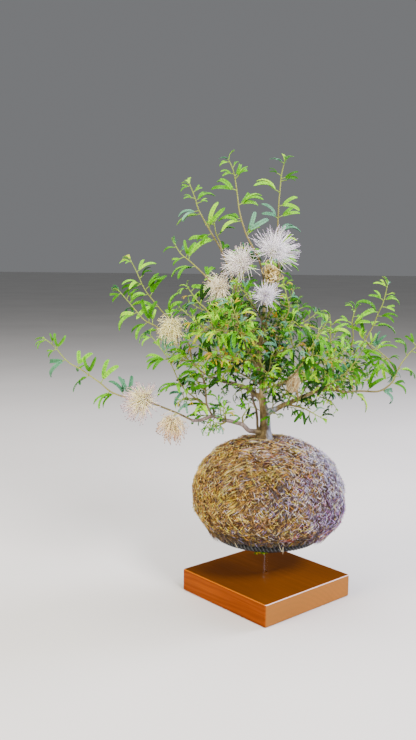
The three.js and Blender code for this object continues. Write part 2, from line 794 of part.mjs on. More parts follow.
function ballSolid() {
  const profile = [...ballSeat];
  const startAngle = Math.asin(((ballCentreZ - ballFreeZ) / ballHalfHeight) ** (ballExponent / 2));
  for (let row = 0; row <= ballRows; row++) {
    const angle = -startAngle + ((Math.PI / 2 + startAngle) * row) / ballRows;
    const height = Math.sign(angle) * Math.abs(Math.sin(angle)) ** (2 / ballExponent);
    const radius = row === ballRows ? 0 : Math.cos(angle) ** (2 / ballExponent);
    profile.push([ballRadius * radius, ballCentreZ + ballHalfHeight * height]);
  }
  const geometry = lathed(profile, ballSegments);
  const position = geometry.attributes.position;
  const point = new THREE.Vector3();
  const centre = new THREE.Vector3(0, 0, ballCentreZ);
  for (let i = 0; i < position.count; i++) {
    point.fromBufferAttribute(position, i);
    if (point.z > reliefFromZ) {
      const way = point.clone().sub(centre).normalize();
      point.addScaledVector(way, fibreRelief(point, way));
      position.setXYZ(i, point.x, point.y, point.z);
    }
  }
  return solidOf(geometry);
}

// The whole plant

const group = new THREE.Group();

function addPiece(name, solid, kind) {
  const mesh = new THREE.Mesh(geometryOf(solid), new THREE.MeshStandardMaterial(colours[kind]));
  mesh.name = name;
  group.add(mesh);
}

const limbGrowth = clearGap + 0.05;
const stemParts = Object.entries(limbs).map(([name, { radii, points }]) => {
  const path = points.map(vector);
  const sizes = radii.length === path.length ? radii : evenRadii(path.length, radii[0], radii[1]);
  const trunk = name === 'trunk';
  return { path, sizes, sides: trunk ? trunkSides : limbSides, unevenness: trunk ? 0.07 : 0 };
});
stemParts.forEach(({ path, sizes }) => addRods('woody_stems', path, sizes, 'limb'));
const woodySolid = wasm.Manifold.union(
  stemParts.map(({ path, sizes, sides, unevenness }) => stemSolid(path, sizes, sides, unevenness)),
);
const grownLimbs = wasm.Manifold.union(
  stemParts.map(({ path, sizes, sides, unevenness }) => grownStem(path, sizes, sides, limbGrowth, unevenness)),
);

addPiece('wooden_block', blockSolid(), 'wood');
addPiece('clear_rod', rodSolid(), 'clear');
addPiece('dish', dishSolid(), 'dish');
addPiece('cord_ring', cordSolid(), 'cord');
addPiece('moss_ball', ballSolid().subtract(grownLimbs), 'fibre');
addPiece('woody_stems', woodySolid, 'bark');

function twigRadii(path, order) {
  return evenRadii(path.length, order === 0 ? twigRootRadius : sideTwigRootRadius, twigTipRadius);
}

const shootTwigs = {};
Object.entries(shoots).forEach(([name, twigs]) => {
  shootTwigs[name] = twigs.map((points) => points.map(vector));
  shootTwigs[name].forEach((path, i) => addRods(name, path, twigRadii(path, i), 'twig'));
});

[...Object.entries(flowers), ...Object.entries(driedFlowers)].forEach(([name, { radius, stalk }]) => {
  const path = stalk.map(vector);
  const centre = path[path.length - 1];
  addRods(name, path, evenRadii(path.length, 1, 1), 'twig');
  const size = name in flowers ? radius * puffCoreShare : radius;
  rods.push({ owner: name, kind: 'core', a: centre, b: centre.clone().setZ(centre.z + 0.01), radius: size });
});

// A short shoot leaves the trunk, arches outwards and wavers a little from side to side.
function innerPath(start, azimuth, rise, length) {
  const level = new THREE.Vector3(Math.cos(azimuth), Math.sin(azimuth), 0);
  const side = new THREE.Vector3().crossVectors(up, level);
  return [0, 0.2, 0.42, 0.62, 0.82, 1].map((share, i) => start.clone()
    .addScaledVector(level, length * share * Math.cos(rise))
    .addScaledVector(up, length * share * (Math.sin(rise) * (1.25 - 0.35 * share)))
    .addScaledVector(side, i % 2 ? 1.3 : -1.3 * Math.sign(i)));
}

const trunkPath = limbs.trunk.points.map(vector);
let placedInner = 0;
for (let i = 0; i < innerShoots.count; i++) {
  const name = `shoot_inner_${placedInner + 1}`;
  const share = i / (innerShoots.count - 1);
  const startZ = innerShoots.lowestZ + (innerShoots.highestZ - innerShoots.lowestZ) * share * 0.85;
  const above = trunkPath.findIndex((point) => point.z > startZ);
  const low = trunkPath[above - 1];
  const start = mixed(low, trunkPath[above], (startZ - low.z) / (trunkPath[above].z - low.z));
  const length = between(innerShoots.shortest, innerShoots.longest) * (1 - 0.2 * share);
  for (let attempt = 0; attempt < 24; attempt++) {
    const azimuth = THREE.MathUtils.degToRad(innerShoots.goldenAngle * i + 15 * attempt);
    const rise = THREE.MathUtils.degToRad(12 + 34 * share + 5 * (attempt % 3));
    const path = innerPath(start, azimuth, rise, length);
    if (keepsClear(name, path, evenRadii(path.length, 1.5, 1.5), 0, 1.6, 'limb')) {
      shootTwigs[name] = [path];
      addRods(name, path, twigRadii(path, 0), 'twig');
      placedInner++;
      break;
    }
  }
}

Object.entries(flowers).forEach(([name, flower]) => {
  const host = flower.host === 'limbs' ? grownLimbs : wasm.Manifold.union(
    shootTwigs[flower.host].map((path, i) => grownStem(path, twigRadii(path, i), 3, clearGap + 0.1)),
  );
  addPiece(name, largestPiece(puffSolid(name, flower).subtract(host)), 'petal');
});

Object.entries(driedFlowers).forEach(([name, flower]) => {
  addPiece(name, largestPiece(driedSolid(flower).subtract(grownLimbs)), 'dried');
});

Object.entries(shootTwigs).forEach(([name, paths]) => {
  const outline = outlineShoots.includes(name);
  const spacing = outline ? leafSpacing : innerLeafSpacing;
  const shape = outline ? bladeShapes.full : bladeShapes.plain;
  const solids = paths.map((path, i) => twigSolid(path, twigRadii(path, i)));
  paths.forEach((path) => solids.push(...leavesOn(name, path, spacing, shape)));
  addPiece(name, largestPiece(wasm.Manifold.union(solids).subtract(grownLimbs)), 'leaf');
});

export default group;
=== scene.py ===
import math

import bmesh
import bpy
import numpy as np
from mathutils import Matrix, Vector, noise


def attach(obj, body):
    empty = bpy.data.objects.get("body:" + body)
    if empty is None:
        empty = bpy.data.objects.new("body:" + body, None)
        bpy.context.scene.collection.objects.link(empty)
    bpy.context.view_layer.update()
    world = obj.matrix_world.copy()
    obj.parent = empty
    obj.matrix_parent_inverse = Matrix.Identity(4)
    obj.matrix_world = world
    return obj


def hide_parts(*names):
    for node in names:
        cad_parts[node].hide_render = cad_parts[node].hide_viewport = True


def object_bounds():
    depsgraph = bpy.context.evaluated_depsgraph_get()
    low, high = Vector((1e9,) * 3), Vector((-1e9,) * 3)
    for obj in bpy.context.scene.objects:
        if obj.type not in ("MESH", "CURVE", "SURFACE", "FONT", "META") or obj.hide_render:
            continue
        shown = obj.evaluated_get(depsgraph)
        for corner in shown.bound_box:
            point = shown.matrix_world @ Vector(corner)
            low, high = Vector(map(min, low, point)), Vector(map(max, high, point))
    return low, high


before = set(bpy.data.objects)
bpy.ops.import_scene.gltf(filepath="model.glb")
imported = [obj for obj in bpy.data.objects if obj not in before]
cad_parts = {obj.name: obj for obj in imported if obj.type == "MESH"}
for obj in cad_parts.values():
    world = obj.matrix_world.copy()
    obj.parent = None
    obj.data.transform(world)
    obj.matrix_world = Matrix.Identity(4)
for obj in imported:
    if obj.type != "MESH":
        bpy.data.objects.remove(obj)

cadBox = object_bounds()
scene = bpy.context.scene

# Every piece is worked out in millimetres and scaled to metres as it is finished.
metresPerUnit = 0.001
mergeReach = 1e-4
capLength = 0.02
up = np.array([0.0, 0.0, 1.0])
front = np.array([0.0, -1.0, 0.0])


# Small helpers.
def report(text):
    print("kokedama:", text)


def unit(v):
    return v / math.sqrt(v @ v)


def cross(a, b):
    return np.array([a[1] * b[2] - a[2] * b[1], a[2] * b[0] - a[0] * b[2], a[0] * b[1] - a[1] * b[0]])


def acrossFrom(direction, reference):
    return unit(reference - direction * (reference @ direction))


def turned(v, axis, degrees):
    angle = math.radians(degrees)
    part = axis * (axis @ v) * (1 - math.cos(angle))
    return v * math.cos(angle) + cross(axis, v) * math.sin(angle) + part


def flatWay(azimuth):
    return np.array([math.cos(azimuth), math.sin(azimuth), 0])


def unitRows(rows):
    return rows / np.linalg.norm(rows, axis=1)[:, None]


# A curve through the points, in steps of about the given length, with the radii eased along it.
def smoothed(points, radii, step):
    points = np.array(points, float)
    places, sizes = [], []
    last = len(points) - 1
    for i in range(last):
        before, near, far, after = points[max(i - 1, 0)], points[i], points[i + 1], points[min(i + 2, last)]
        count = max(1, round(np.linalg.norm(far - near) / step))
        for t in np.arange(count) / count:
            places.append(0.5 * (2 * near + (far - before) * t
                                 + (2 * before - 5 * near + 4 * far - after) * t ** 2
                                 + (3 * near - before - 3 * far + after) * t ** 3))
            sizes.append(radii[i] + (radii[i + 1] - radii[i]) * t)
    return np.array(places + [points[last]]), np.array(sizes + [radii[last]])


def newObject(name, data):
    made = bpy.data.objects.new(name, data)
    scene.collection.objects.link(made)
    return made


def finishPiece(name, mesh, materials, nodes=()):
    mesh.transform(Matrix.Scale(metresPerUnit, 4))
    piece = newObject(name, mesh)
    for material in materials:
        mesh.materials.append(material)
    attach(piece, "root")
    if nodes:
        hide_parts(*nodes)
    report(f"{name}, {len(mesh.polygons)} faces")
    return piece


def opened(mesh):
    bm = bmesh.new()
    bm.from_mesh(mesh)
    return bm


# With smooth left at None, each face keeps its own shading.
def meshOf(bm, name, smooth=None):
    mesh = bpy.data.meshes.new(name)
    if smooth is not None:
        for face in bm.faces:
            face.smooth = smooth
    bm.to_mesh(mesh)
    bm.free()
    return mesh


def evaluatedMesh(holder):
    graph = bpy.context.evaluated_depsgraph_get()
    return bpy.data.meshes.new_from_object(holder.evaluated_get(graph), depsgraph=graph)


def evenShading(piece, angle):
    piece.data.set_sharp_from_angle(angle=math.radians(angle))
    weighted = piece.modifiers.new("even shading", "WEIGHTED_NORMAL")
    weighted.keep_sharp = True


def cleaned(mesh):
    bm = opened(mesh)
    bmesh.ops.remove_doubles(bm, verts=bm.verts, dist=mergeReach)
    bmesh.ops.dissolve_degenerate(bm, edges=bm.edges, dist=mergeReach)
    bm.to_mesh(mesh)
    bm.free()
    return mesh


# A body spun about the upright axis from a profile of radii and heights.
def spunBody(profile, steps):
    bm = bmesh.new()
    verts = [bm.verts.new((radius, 0, height)) for radius, height in profile]
    edges = [bm.edges.new(pair) for pair in zip(verts, verts[1:])]
    bmesh.ops.spin(bm, geom=verts + edges, axis=(0, 0, 1), cent=(0, 0, 0), angle=2 * math.pi,
                   steps=steps, use_merge=True)
    bmesh.ops.remove_doubles(bm, verts=bm.verts, dist=mergeReach)
    bmesh.ops.recalc_face_normals(bm, faces=bm.faces)
    return bm


def crossSection(sides):
    curve = bpy.data.curves.new("section", "CURVE")
    spline = curve.splines.new("POLY")
    spline.points.add(sides - 1)
    for i, point in enumerate(spline.points):
        turn = 2 * math.pi * i / sides
        point.co = (math.cos(turn), math.sin(turn), 0, 1)
    spline.use_cyclic_u = True
    return newObject("section", curve)


# Strands along paths. An open one has a radius of nothing at both ends, so it is closed once its doubles
# are merged. Values are named attributes with one number for each strand or each point.
def strandMesh(name, paths, radii, sides=3, cyclic=False, values=None):
    section = crossSection(sides)
    curve = bpy.data.curves.new(name, "CURVE")
    curve.dimensions = "3D"
    curve.bevel_mode = "OBJECT"
    curve.bevel_object = section
    curve.use_fill_caps = False
    for path, sizes in zip(paths, radii):
        spline = curve.splines.new("POLY")
        spline.points.add(len(path) - 1)
        places = np.ones((len(path), 4), np.float32)
        places[:, :3] = path
        spline.points.foreach_set("co", places.ravel())
        spline.points.foreach_set("radius", np.asarray(sizes, np.float32))
        spline.use_cyclic_u = cyclic
        spline.use_smooth = True
    holder = newObject(name, curve)
    mesh = evaluatedMesh(holder)
    mesh.name = name
    for spare in (holder, section):
        data = spare.data
        bpy.data.objects.remove(spare)
        bpy.data.curves.remove(data)
    for label, amounts in (values or {}).items():
        perPoint = np.concatenate([np.broadcast_to(a, len(path)) for a, path in zip(amounts, paths)])
        layer = mesh.attributes.new(label, "FLOAT", "POINT")
        layer.data.foreach_set("value", np.repeat(perPoint, sides).astype(np.float32))
    return mesh if cyclic else cleaned(mesh)


def closedEnds(path, radii):
    first = path[0] + (path[0] - path[1]) * capLength
    last = path[-1] + (path[-1] - path[-2]) * capLength
    return np.vstack([first, path, last]), np.concatenate([[0], radii, [0]])


# Shader helpers. A colour is six hex digits of what the screen shows.
def srgb(text):
    channels = [int(text[i:i + 2], 16) / 255 for i in (0, 2, 4)]
    return tuple(c / 12.92 if c <= 0.04045 else ((c + 0.055) / 1.055) ** 2.4 for c in channels) + (1.0,)


def newMaterial(name, constants):
    material = bpy.data.materials.new(name)
    material.use_nodes = True
    shader = next(n for n in material.node_tree.nodes if n.type == "BSDF_PRINCIPLED")
    for socket, value in constants.items():
        shader.inputs[socket].default_value = value
    return material, material.node_tree, shader


def addNode(tree, kind, inputs=None, **settings):
    made = tree.nodes.new("ShaderNode" + kind)
    for key, value in settings.items():
        setattr(made, key, value)
    for key, value in (inputs or {}).items():
        if isinstance(value, bpy.types.NodeSocket):
            tree.links.new(value, made.inputs[key])
        else:
            made.inputs[key].default_value = srgb(value) if isinstance(value, str) else value
    return made


def objectPlace(tree):
    return addNode(tree, "TexCoord").outputs["Object"]


def mapped(tree, vector, **mapping):
    inputs = {"Vector": vector, **{key.capitalize(): value for key, value in mapping.items()}}
    return addNode(tree, "Mapping", inputs).outputs["Vector"]


def apart(tree, vector):
    return addNode(tree, "SeparateXYZ", {"Vector": vector}).outputs


def noiseOf(tree, place, scale, detail=3.0, roughness=0.5):
    inputs = {"Vector": place, "Scale": scale, "Detail": detail, "Roughness": roughness}
    return addNode(tree, "TexNoise", inputs).outputs["Fac"]


def maths(tree, operation, a, b=0.0, clamp=False):
    return addNode(tree, "Math", {0: a, 1: b}, operation=operation, use_clamp=clamp).outputs[0]


def valueRange(tree, value, low, high, toLow=0.0, toHigh=1.0):
    inputs = {"Value": value, "From Min": low, "From Max": high, "To Min": toLow, "To Max": toHigh}
    return addNode(tree, "MapRange", inputs).outputs["Result"]


def mixed(tree, factor, a, b):
    return addNode(tree, "Mix", {0: factor, 6: a, 7: b}, data_type="RGBA").outputs[2]


def ramp(tree, factor, stops):
    made = addNode(tree, "ValToRGB", {"Fac": factor})
    elements = made.color_ramp.elements
    elements[0].position, elements[0].color = stops[0][0], srgb(stops[0][1])
    elements[1].position, elements[1].color = stops[-1][0], srgb(stops[-1][1])
    for place, colour in stops[1:-1]:
        elements.new(place).color = srgb(colour)
    return made.outputs["Color"]


def raised(tree, shader, height, strength, distance):
    inputs = {"Height": height, "Strength": strength, "Distance": distance}
    tree.links.new(addNode(tree, "Bump", inputs).outputs["Normal"], shader.inputs["Normal"])


def attribute(tree, name):
    return addNode(tree, "Attribute", attribute_name=name, attribute_type="GEOMETRY").outputs["Fac"]


def linkLooks(tree, shader, colour=None, roughness=None):
    for socket, value in (("Base Color", colour), ("Roughness", roughness)):
        if value is not None:
            tree.links.new(value, shader.inputs[socket])


# Camera, light and floor, in metres.
cameraSpot = {"place": (-0.066, -0.898, 0.372), "lens": 41.35, "down": 7.88, "roll": 0.6}

lights = {
    "key": {"place": (0.75, -1.35, 1.5), "size": 0.5, "power": 72, "colour": (1.0, 0.96, 0.99)},
    "left": {"place": (-1.35, -0.95, 0.9), "size": 0.7, "power": 46, "colour": (1.0, 0.88, 0.66)},
    "top": {"place": (-0.15, 0.2, 1.8), "size": 0.8, "power": 34, "colour": (0.99, 0.99, 1.0)},
    "rim": {"place": (1.3, 0.55, 0.8), "size": 0.6, "power": 36, "colour": (0.82, 0.8, 1.0)},
}
lookAt = Vector((-0.03, 0, 0.24))
room = {"colour": "e4e6ea", "brightness": 0.24}
floorSettings = {"size": 14, "cells": 8, "below": 0.0002}


def makeCamera():
    data = bpy.data.cameras.new("camera")
    data.lens = cameraSpot["lens"]
    camera = newObject("camera", data)
    camera.matrix_world = (Matrix.Translation(cameraSpot["place"])
                           @ Matrix.Rotation(math.radians(90 - cameraSpot["down"]), 4, "X")
                           @ Matrix.Rotation(math.radians(cameraSpot["roll"]), 4, "Z"))
    scene.camera = camera


def makeLights():
    for name, light in lights.items():
        data = bpy.data.lights.new(name, "AREA")
        data.size, data.energy, data.color = light["size"], light["power"], light["colour"]
        lamp = newObject(name, data)
        lamp.location = light["place"]
        lamp.rotation_euler = (lookAt - lamp.location).to_track_quat("-Z", "Y").to_euler()
    world = bpy.data.worlds.new("room")
    world.use_nodes = True
    background = next(n for n in world.node_tree.nodes if n.type == "BACKGROUND")
    background.inputs["Color"].default_value = srgb(room["colour"])
    background.inputs["Strength"].default_value = room["brightness"]
    scene.world = world


def makeFloor():
    bm = bmesh.new()
    cells = floorSettings["cells"]
    bmesh.ops.create_grid(bm, x_segments=cells, y_segments=cells, size=floorSettings["size"])
    mesh = meshOf(bm, "floor", smooth=False)
    floor = newObject("floor", mesh)
    material, tree, shader = newMaterial("pale floor", {"Roughness": 0.62})
    cloudy = noiseOf(tree, objectPlace(tree), 2.5, 2)
    linkLooks(tree, shader, ramp(tree, cloudy, [(0.3, "d2d0cc"), (0.7, "dad8d4")]))
    mesh.materials.append(material)
    mesh.transform(Matrix.Translation((0, 0, -floorSettings["below"])))


makeCamera()
makeLights()
makeFloor()
report("camera, lights and floor stand")


# The wooden block.
block = {"side": 130, "height": 24, "edge": 1.3, "edgeSteps": 3, "corner": 2.5, "cornerSteps": 4, "turn": 41.25,
         "socket": 2.35, "socketDepth": 6.4, "socketSteps": 32}


def woodMaterial():
    material, tree, shader = newMaterial("varnished wood", {
        "Coat Weight": 0.05, "Coat Roughness": 0.25, "Specular IOR Level": 0.03})
    turnBack = (0, 0, math.radians(-block["turn"]))
    place = mapped(tree, objectPlace(tree), rotation=turnBack)
    # Long grain runs along the block's own Y, so its rings show as arcs on that pair of ends.
    grain = mapped(tree, place, location=(0.034, 0.0, 0.052), scale=(1.0, 0.16, 1.0))
    sway = noiseOf(tree, grain, 26, 3, 0.55)
    offset = addNode(tree, "CombineXYZ", {"X": valueRange(tree, sway, 0.3, 0.7, -0.006, 0.006),
                                          "Z": valueRange(tree, sway, 0.3, 0.7, 0.004, -0.004)}).outputs[0]
    swayed = addNode(tree, "VectorMath", {0: grain, 1: offset}, operation="ADD").outputs[0]
    rings = addNode(tree, "TexWave", {"Vector": swayed, "Scale": 62.0, "Distortion": 1.2, "Detail": 3.0,
                                      "Detail Scale": 1.6, "Detail Roughness": 0.6},
                    wave_type="RINGS", rings_direction="Y").outputs["Fac"]
    fibres = noiseOf(tree, mapped(tree, place, scale=(900, 22, 900)), 1.0, 3, 0.6)
    broad = noiseOf(tree, mapped(tree, place, scale=(30, 5, 30)), 1.0, 2)
    base = ramp(tree, broad, [(0.25, "783200"), (0.5, "863c00"), (0.75, "984800")])
    lined = mixed(tree, valueRange(tree, rings, 0.15, 0.95, 0.0, 0.42), base, "5c2400")
    fine = mixed(tree, valueRange(tree, fibres, 0.42, 0.68, 0.0, 0.4), lined, "522000")
    # The upper face is painted darker than the sides, a painted shade for the dark reflection it would show,
    # and the sawn ends of the grain are paler, partly end grain and partly painted light on the lit end.
    geometry = addNode(tree, "NewGeometry").outputs
    upper = valueRange(tree, apart(tree, geometry["Normal"])["Z"], 0.75, 0.98)
    endways = maths(tree, "ABSOLUTE", apart(tree, mapped(tree, geometry["Normal"], rotation=turnBack))["Y"])
    pale = mixed(tree, valueRange(tree, endways, 0.6, 0.9, 0.0, 0.6), fine, "a07036")
    faces = mixed(tree, upper, pale, mixed(tree, 0.8, fine, "522e02"))
    # The bevelled edges carry a painted highlight: lighter, orange on the sides and near white on the ends.
    flatly = apart(tree, geometry["True Normal"])["Z"]
    bevel = maths(tree, "MULTIPLY", valueRange(tree, flatly, 0.5, 0.6), valueRange(tree, flatly, 0.99, 0.97),
                  clamp=True)
    wearAndHighlight = mixed(tree, valueRange(tree, endways, 0.2, 0.4), "c46c10", "ece0e2")
    linkLooks(tree, shader, mixed(tree, maths(tree, "MULTIPLY", bevel, 0.65), faces, wearAndHighlight),
              valueRange(tree, fibres, 0.3, 0.7, 0.3, 0.42))
    raised(tree, shader, fibres, 0.12, 0.0004)
    return material


def bevelled(bm, edges, offset, segments):
    bmesh.ops.bevel(bm, geom=edges, offset=offset, offset_type="OFFSET", segments=segments, profile=0.5,
                    affect="EDGES", material=-1)


def makeBlock():
    side, height = block["side"], block["height"]
    bm = bmesh.new()
    bmesh.ops.create_cube(bm, size=1, matrix=Matrix.Diagonal((side, side, height, 1)))
    upright = [e for e in bm.edges if abs(e.verts[0].co.z - e.verts[1].co.z) > 1]
    bevelled(bm, upright, block["corner"], block["cornerSteps"])
    level = [e for e in bm.edges if abs(abs(e.verts[0].co.z) - height / 2) < 0.01
             and abs(e.verts[0].co.z - e.verts[1].co.z) < 0.01]
    bevelled(bm, level, block["edge"], block["edgeSteps"])
    bmesh.ops.transform(bm, verts=bm.verts, matrix=Matrix.Rotation(math.radians(block["turn"]), 4, "Z")
                        @ Matrix.Translation((0, 0, height / 2)))
    whole = newObject("block", meshOf(bm, "block", smooth=True))
    bm = bmesh.new()
    bmesh.ops.create_cone(bm, segments=block["socketSteps"], radius1=block["socket"], radius2=block["socket"],
                          depth=block["socketDepth"] * 2, cap_ends=True,
                          matrix=Matrix.Translation((0, 0, height)))
    drill = newObject("drill", meshOf(bm, "drill", smooth=True))
    cut = whole.modifiers.new("socket", "BOOLEAN")
    cut.object, cut.operation, cut.solver = drill, "DIFFERENCE", "EXACT"
    mesh = evaluatedMesh(whole)
    for spare in (whole, drill):
        bpy.data.objects.remove(spare)
    piece = finishPiece("block_varnished", mesh, [woodMaterial()], ["wooden_block"])
    evenShading(piece, 40)


makeBlock()


# The clear rod.
rod = {"radius": 2.0, "bottom": 18.0, "top": 53.9, "rounding": 0.35, "steps": 32}


def makeRod():
    radius, bottom, top, edge = rod["radius"], rod["bottom"], rod["top"], rod["rounding"]
    profile = [(0, bottom), (radius - edge, bottom), (radius - edge * 0.3, bottom + edge * 0.3),
               (radius, bottom + edge), (radius, top - edge), (radius - edge * 0.3, top - edge * 0.3),
               (radius - edge, top), (0, top)]
    material, tree, shader = newMaterial("clear acrylic", {
        "Base Color": (0.97, 0.98, 1.0, 1), "Transmission Weight": 1.0, "IOR": 1.46})
    streaks = noiseOf(tree, mapped(tree, objectPlace(tree), scale=(900, 900, 60)), 1.0, 2)
    linkLooks(tree, shader, roughness=valueRange(tree, streaks, 0.3, 0.7, 0.03, 0.12))
    mesh = meshOf(spunBody(profile, rod["steps"]), "rod", smooth=True)
    piece = finishPiece("rod_clear", mesh, [material], ["clear_rod"])
    evenShading(piece, 50)


makeRod()


# The dish.
dish = {
    "steps": 96,
    "profile": [
        (0, 54.2), (2.3, 54.2), (2.3, 50.8), (2.7, 50.5), (5.4, 50.5), (6.0, 50.9), (6.6, 52.4), (7.4, 53.0),
        (16, 53.0), (24, 54.6), (32, 57.0), (40, 60.2), (44.6, 63.4), (47.8, 66.4), (48.8, 68.5), (48.8, 69.8),
        (48.4, 70.2), (47.2, 70.2), (46.7, 69.8), (46.6, 69.0), (44.4, 66.2), (38.6, 62.6), (30, 58.6),
        (22, 56.4), (15.4, 55.2), (0, 55.2),
    ],
}


def makeDish():
    material, tree, shader = newMaterial("black dish", {"Specular IOR Level": 0.4})
    place = objectPlace(tree)
    dusty = noiseOf(tree, place, 60, 4, 0.6)
    linkLooks(tree, shader, ramp(tree, dusty, [(0.35, "0f1012"), (0.62, "17181b"), (0.8, "2a2a2b")]),
              valueRange(tree, dusty, 0.3, 0.75, 0.34, 0.6))
    raised(tree, shader, noiseOf(tree, place, 900, 2), 0.15, 0.0003)
    mesh = meshOf(spunBody(dish["profile"], dish["steps"]), "dish", smooth=True)
    piece = finishPiece("dish_black", mesh, [material], ["dish"])
    evenShading(piece, 50)


makeDish()


# The twisted cord ring.
cordRing = {"ringRadius": 53.3, "height": 69.5, "strands": 3, "turns": 30, "stepsPerTurn": 13, "offset": 2.1,
            "strandRadius": 1.98, "sides": 8}


def cordMaterial():
    material, tree, shader = newMaterial("twisted cord", {
        "Coat Weight": 0.08, "Coat Roughness": 0.25, "Specular IOR Level": 0.3})
    along = mapped(tree, addNode(tree, "UVMap", uv_map="UVMap").outputs["UV"], scale=(540.0, 6.0, 1.0))
    yarns = addNode(tree, "TexWave", {"Vector": along, "Scale": 1.0, "Distortion": 0.6, "Detail": 2.0},
                    wave_type="BANDS", bands_direction="DIAGONAL").outputs["Fac"]
    place = objectPlace(tree)
    wearAndHighlight = noiseOf(tree, place, 220, 3, 0.6)
    # The crowns of the strands carry a painted highlight in pale blue grey, and the grooves between them stay
    # black.
    split = apart(tree, place)
    level = addNode(tree, "CombineXYZ", {"X": split["X"], "Y": split["Y"]}).outputs[0]
    flat = addNode(tree, "VectorMath", {0: level}, operation="LENGTH").outputs["Value"]
    aside = maths(tree, "SUBTRACT", flat, cordRing["ringRadius"] * metresPerUnit)
    above = maths(tree, "SUBTRACT", split["Z"], cordRing["height"] * metresPerUnit)
    squares = [maths(tree, "MULTIPLY", way, way) for way in (aside, above)]
    depth = maths(tree, "SQRT", maths(tree, "ADD", *squares))
    paintedCrestHighlight = mixed(tree, valueRange(tree, depth, 0.0038, 0.0042), "020203", "868e9a")
    base = mixed(tree, valueRange(tree, wearAndHighlight, 0.4, 0.7, 0.0, 0.6), paintedCrestHighlight, "0c0d10")
    linkLooks(tree, shader, mixed(tree, valueRange(tree, yarns, 0.35, 0.95, 0.0, 0.3), base, "101114"),
              valueRange(tree, yarns, 0.0, 1.0, 0.52, 0.32))
    raised(tree, shader, yarns, 0.5, 0.0004)
    return material


def makeCord():
    strands, ringRadius, offset = cordRing["strands"], cordRing["ringRadius"], cordRing["offset"]
    count = cordRing["turns"] * cordRing["stepsPerTurn"]
    around = 2 * math.pi * np.arange(count) / count
    paths = []
    for k in range(strands):
        twist = around * cordRing["turns"] + 2 * math.pi * k / strands
        out = ringRadius + offset * np.sin(twist)
        paths.append(np.stack([out * np.cos(around), out * np.sin(around),
                               cordRing["height"] + offset * np.cos(twist)], axis=1))
    radii = [np.full(count, cordRing["strandRadius"])] * strands
    mesh = strandMesh("cord", paths, radii, sides=cordRing["sides"], cyclic=True)
    finishPiece("cord_twisted", mesh, [cordMaterial()], ["cord_ring"])


makeCord()


# The moss ball: a dark core, and fibres laid over it in crossing bundles.
ball = {
    "centreZ": 112.5, "radius": 81, "halfHeight": 63, "exponent": 2.15, "relief": 1.1, "reliefFromZ": 79,
    "fullerBy": 5, "fullerSide": (0.84, -0.2, -0.5), "freeZ": 90,
    "seat": [(0, 55.6), (15, 55.6), (37.8, 63.1), (45.6, 69.2), (45.8, 71.2), (49.4, 72.9), (53.3, 74.6),
             (57.6, 75.6), (63.2, 78.2), (68.4, 81.7), (73, 86)],
    "coreInset": 2.6, "coreSteps": 120, "coreRows": 44, "lumps": 0.9, "lumpScale": 0.11,
}


def ballProfile(rows):
    profile = list(ball["seat"])
    power = ball["exponent"]
    start = math.asin(((ball["centreZ"] - ball["freeZ"]) / ball["halfHeight"]) ** (power / 2))
    for row in range(rows + 1):
        angle = -start + (math.pi / 2 + start) * row / rows
        height = math.copysign(abs(math.sin(angle)) ** (2 / power), angle)
        flat = 0 if row == rows else math.cos(angle) ** (2 / power)
        profile.append((ball["radius"] * flat, ball["centreZ"] + ball["halfHeight"] * height))
    return profile


ballLine = np.array(ballProfile(ball["coreRows"]))
ballTilts = np.arctan2(ballLine[:, 1] - ball["centreZ"], ballLine[:, 0])
ballReaches = np.hypot(ballLine[:, 0], ballLine[:, 1] - ball["centreZ"])
ballCentre = np.array([0, 0, ball["centreZ"]])


# Where the ball's surface lies along unit directions from its centre.
def ballSurface(ways):
    tilts = np.arctan2(ways[:, 2], np.hypot(ways[:, 0], ways[:, 1]))
    places = ballCentre + ways * np.interp(tilts, ballTilts, ballReaches)[:, None]
    x, y, z = places.T
    fuller = np.maximum(0, ways @ np.array(ball["fullerSide"])) ** 6
    # The same low ridges as in the solid.
    ridges = (np.sin(0.13 * x + 0.21 * z + 0.05 * y) * np.sin(0.19 * x - 0.14 * z + 0.11 * y + 1.3)
              + 0.6 * np.sin(0.09 * x + 0.17 * y + 0.2 * z + 2.1))
    free = np.clip((z - ball["reliefFromZ"]) / 6, 0, 1)
    return places + ways * ((ball["relief"] * ridges + ball["fullerBy"] * fuller) * free)[:, None]


def outwardAt(places):
    scale = np.array([ball["radius"], ball["radius"], ball["halfHeight"]]) ** 2
    return unitRows((places - ballCentre) / scale)


def coreMaterial():
    material, tree, shader = newMaterial("packed moss", {"Roughness": 0.95, "Specular IOR Level": 0.15})
    place = objectPlace(tree)
    patches = noiseOf(tree, place, 45, 3, 0.6)
    crumbs = noiseOf(tree, place, 700, 4, 0.7)
    base = ramp(tree, patches, [(0.3, "2c190e"), (0.48, "402714"), (0.6, "4e361a"), (0.75, "3a3018")])
    linkLooks(tree, shader, mixed(tree, valueRange(tree, crumbs, 0.45, 0.75, 0.0, 0.6), base, "7a5a2a"))
    raised(tree, shader, crumbs, 0.9, 0.0012)
    return material


def makeCore():
    bm = spunBody(ballProfile(ball["coreRows"]), ball["coreSteps"])
    ways = unitRows(np.array([v.co for v in bm.verts]) - ballCentre)
    for vert, way, place in zip(bm.verts, ways, ballSurface(ways)):
        lump = noise.fractal(Vector(place) * ball["lumpScale"], 0.8, 2.2, 3) * ball["lumps"]
        vert.co = Vector(place) + Vector(way) * (lump - ball["coreInset"])
    bmesh.ops.recalc_face_normals(bm, faces=bm.faces)
    finishPiece("ball_core", meshOf(bm, "core", smooth=True), [coreMaterial()], ["moss_ball"])


makeCore()

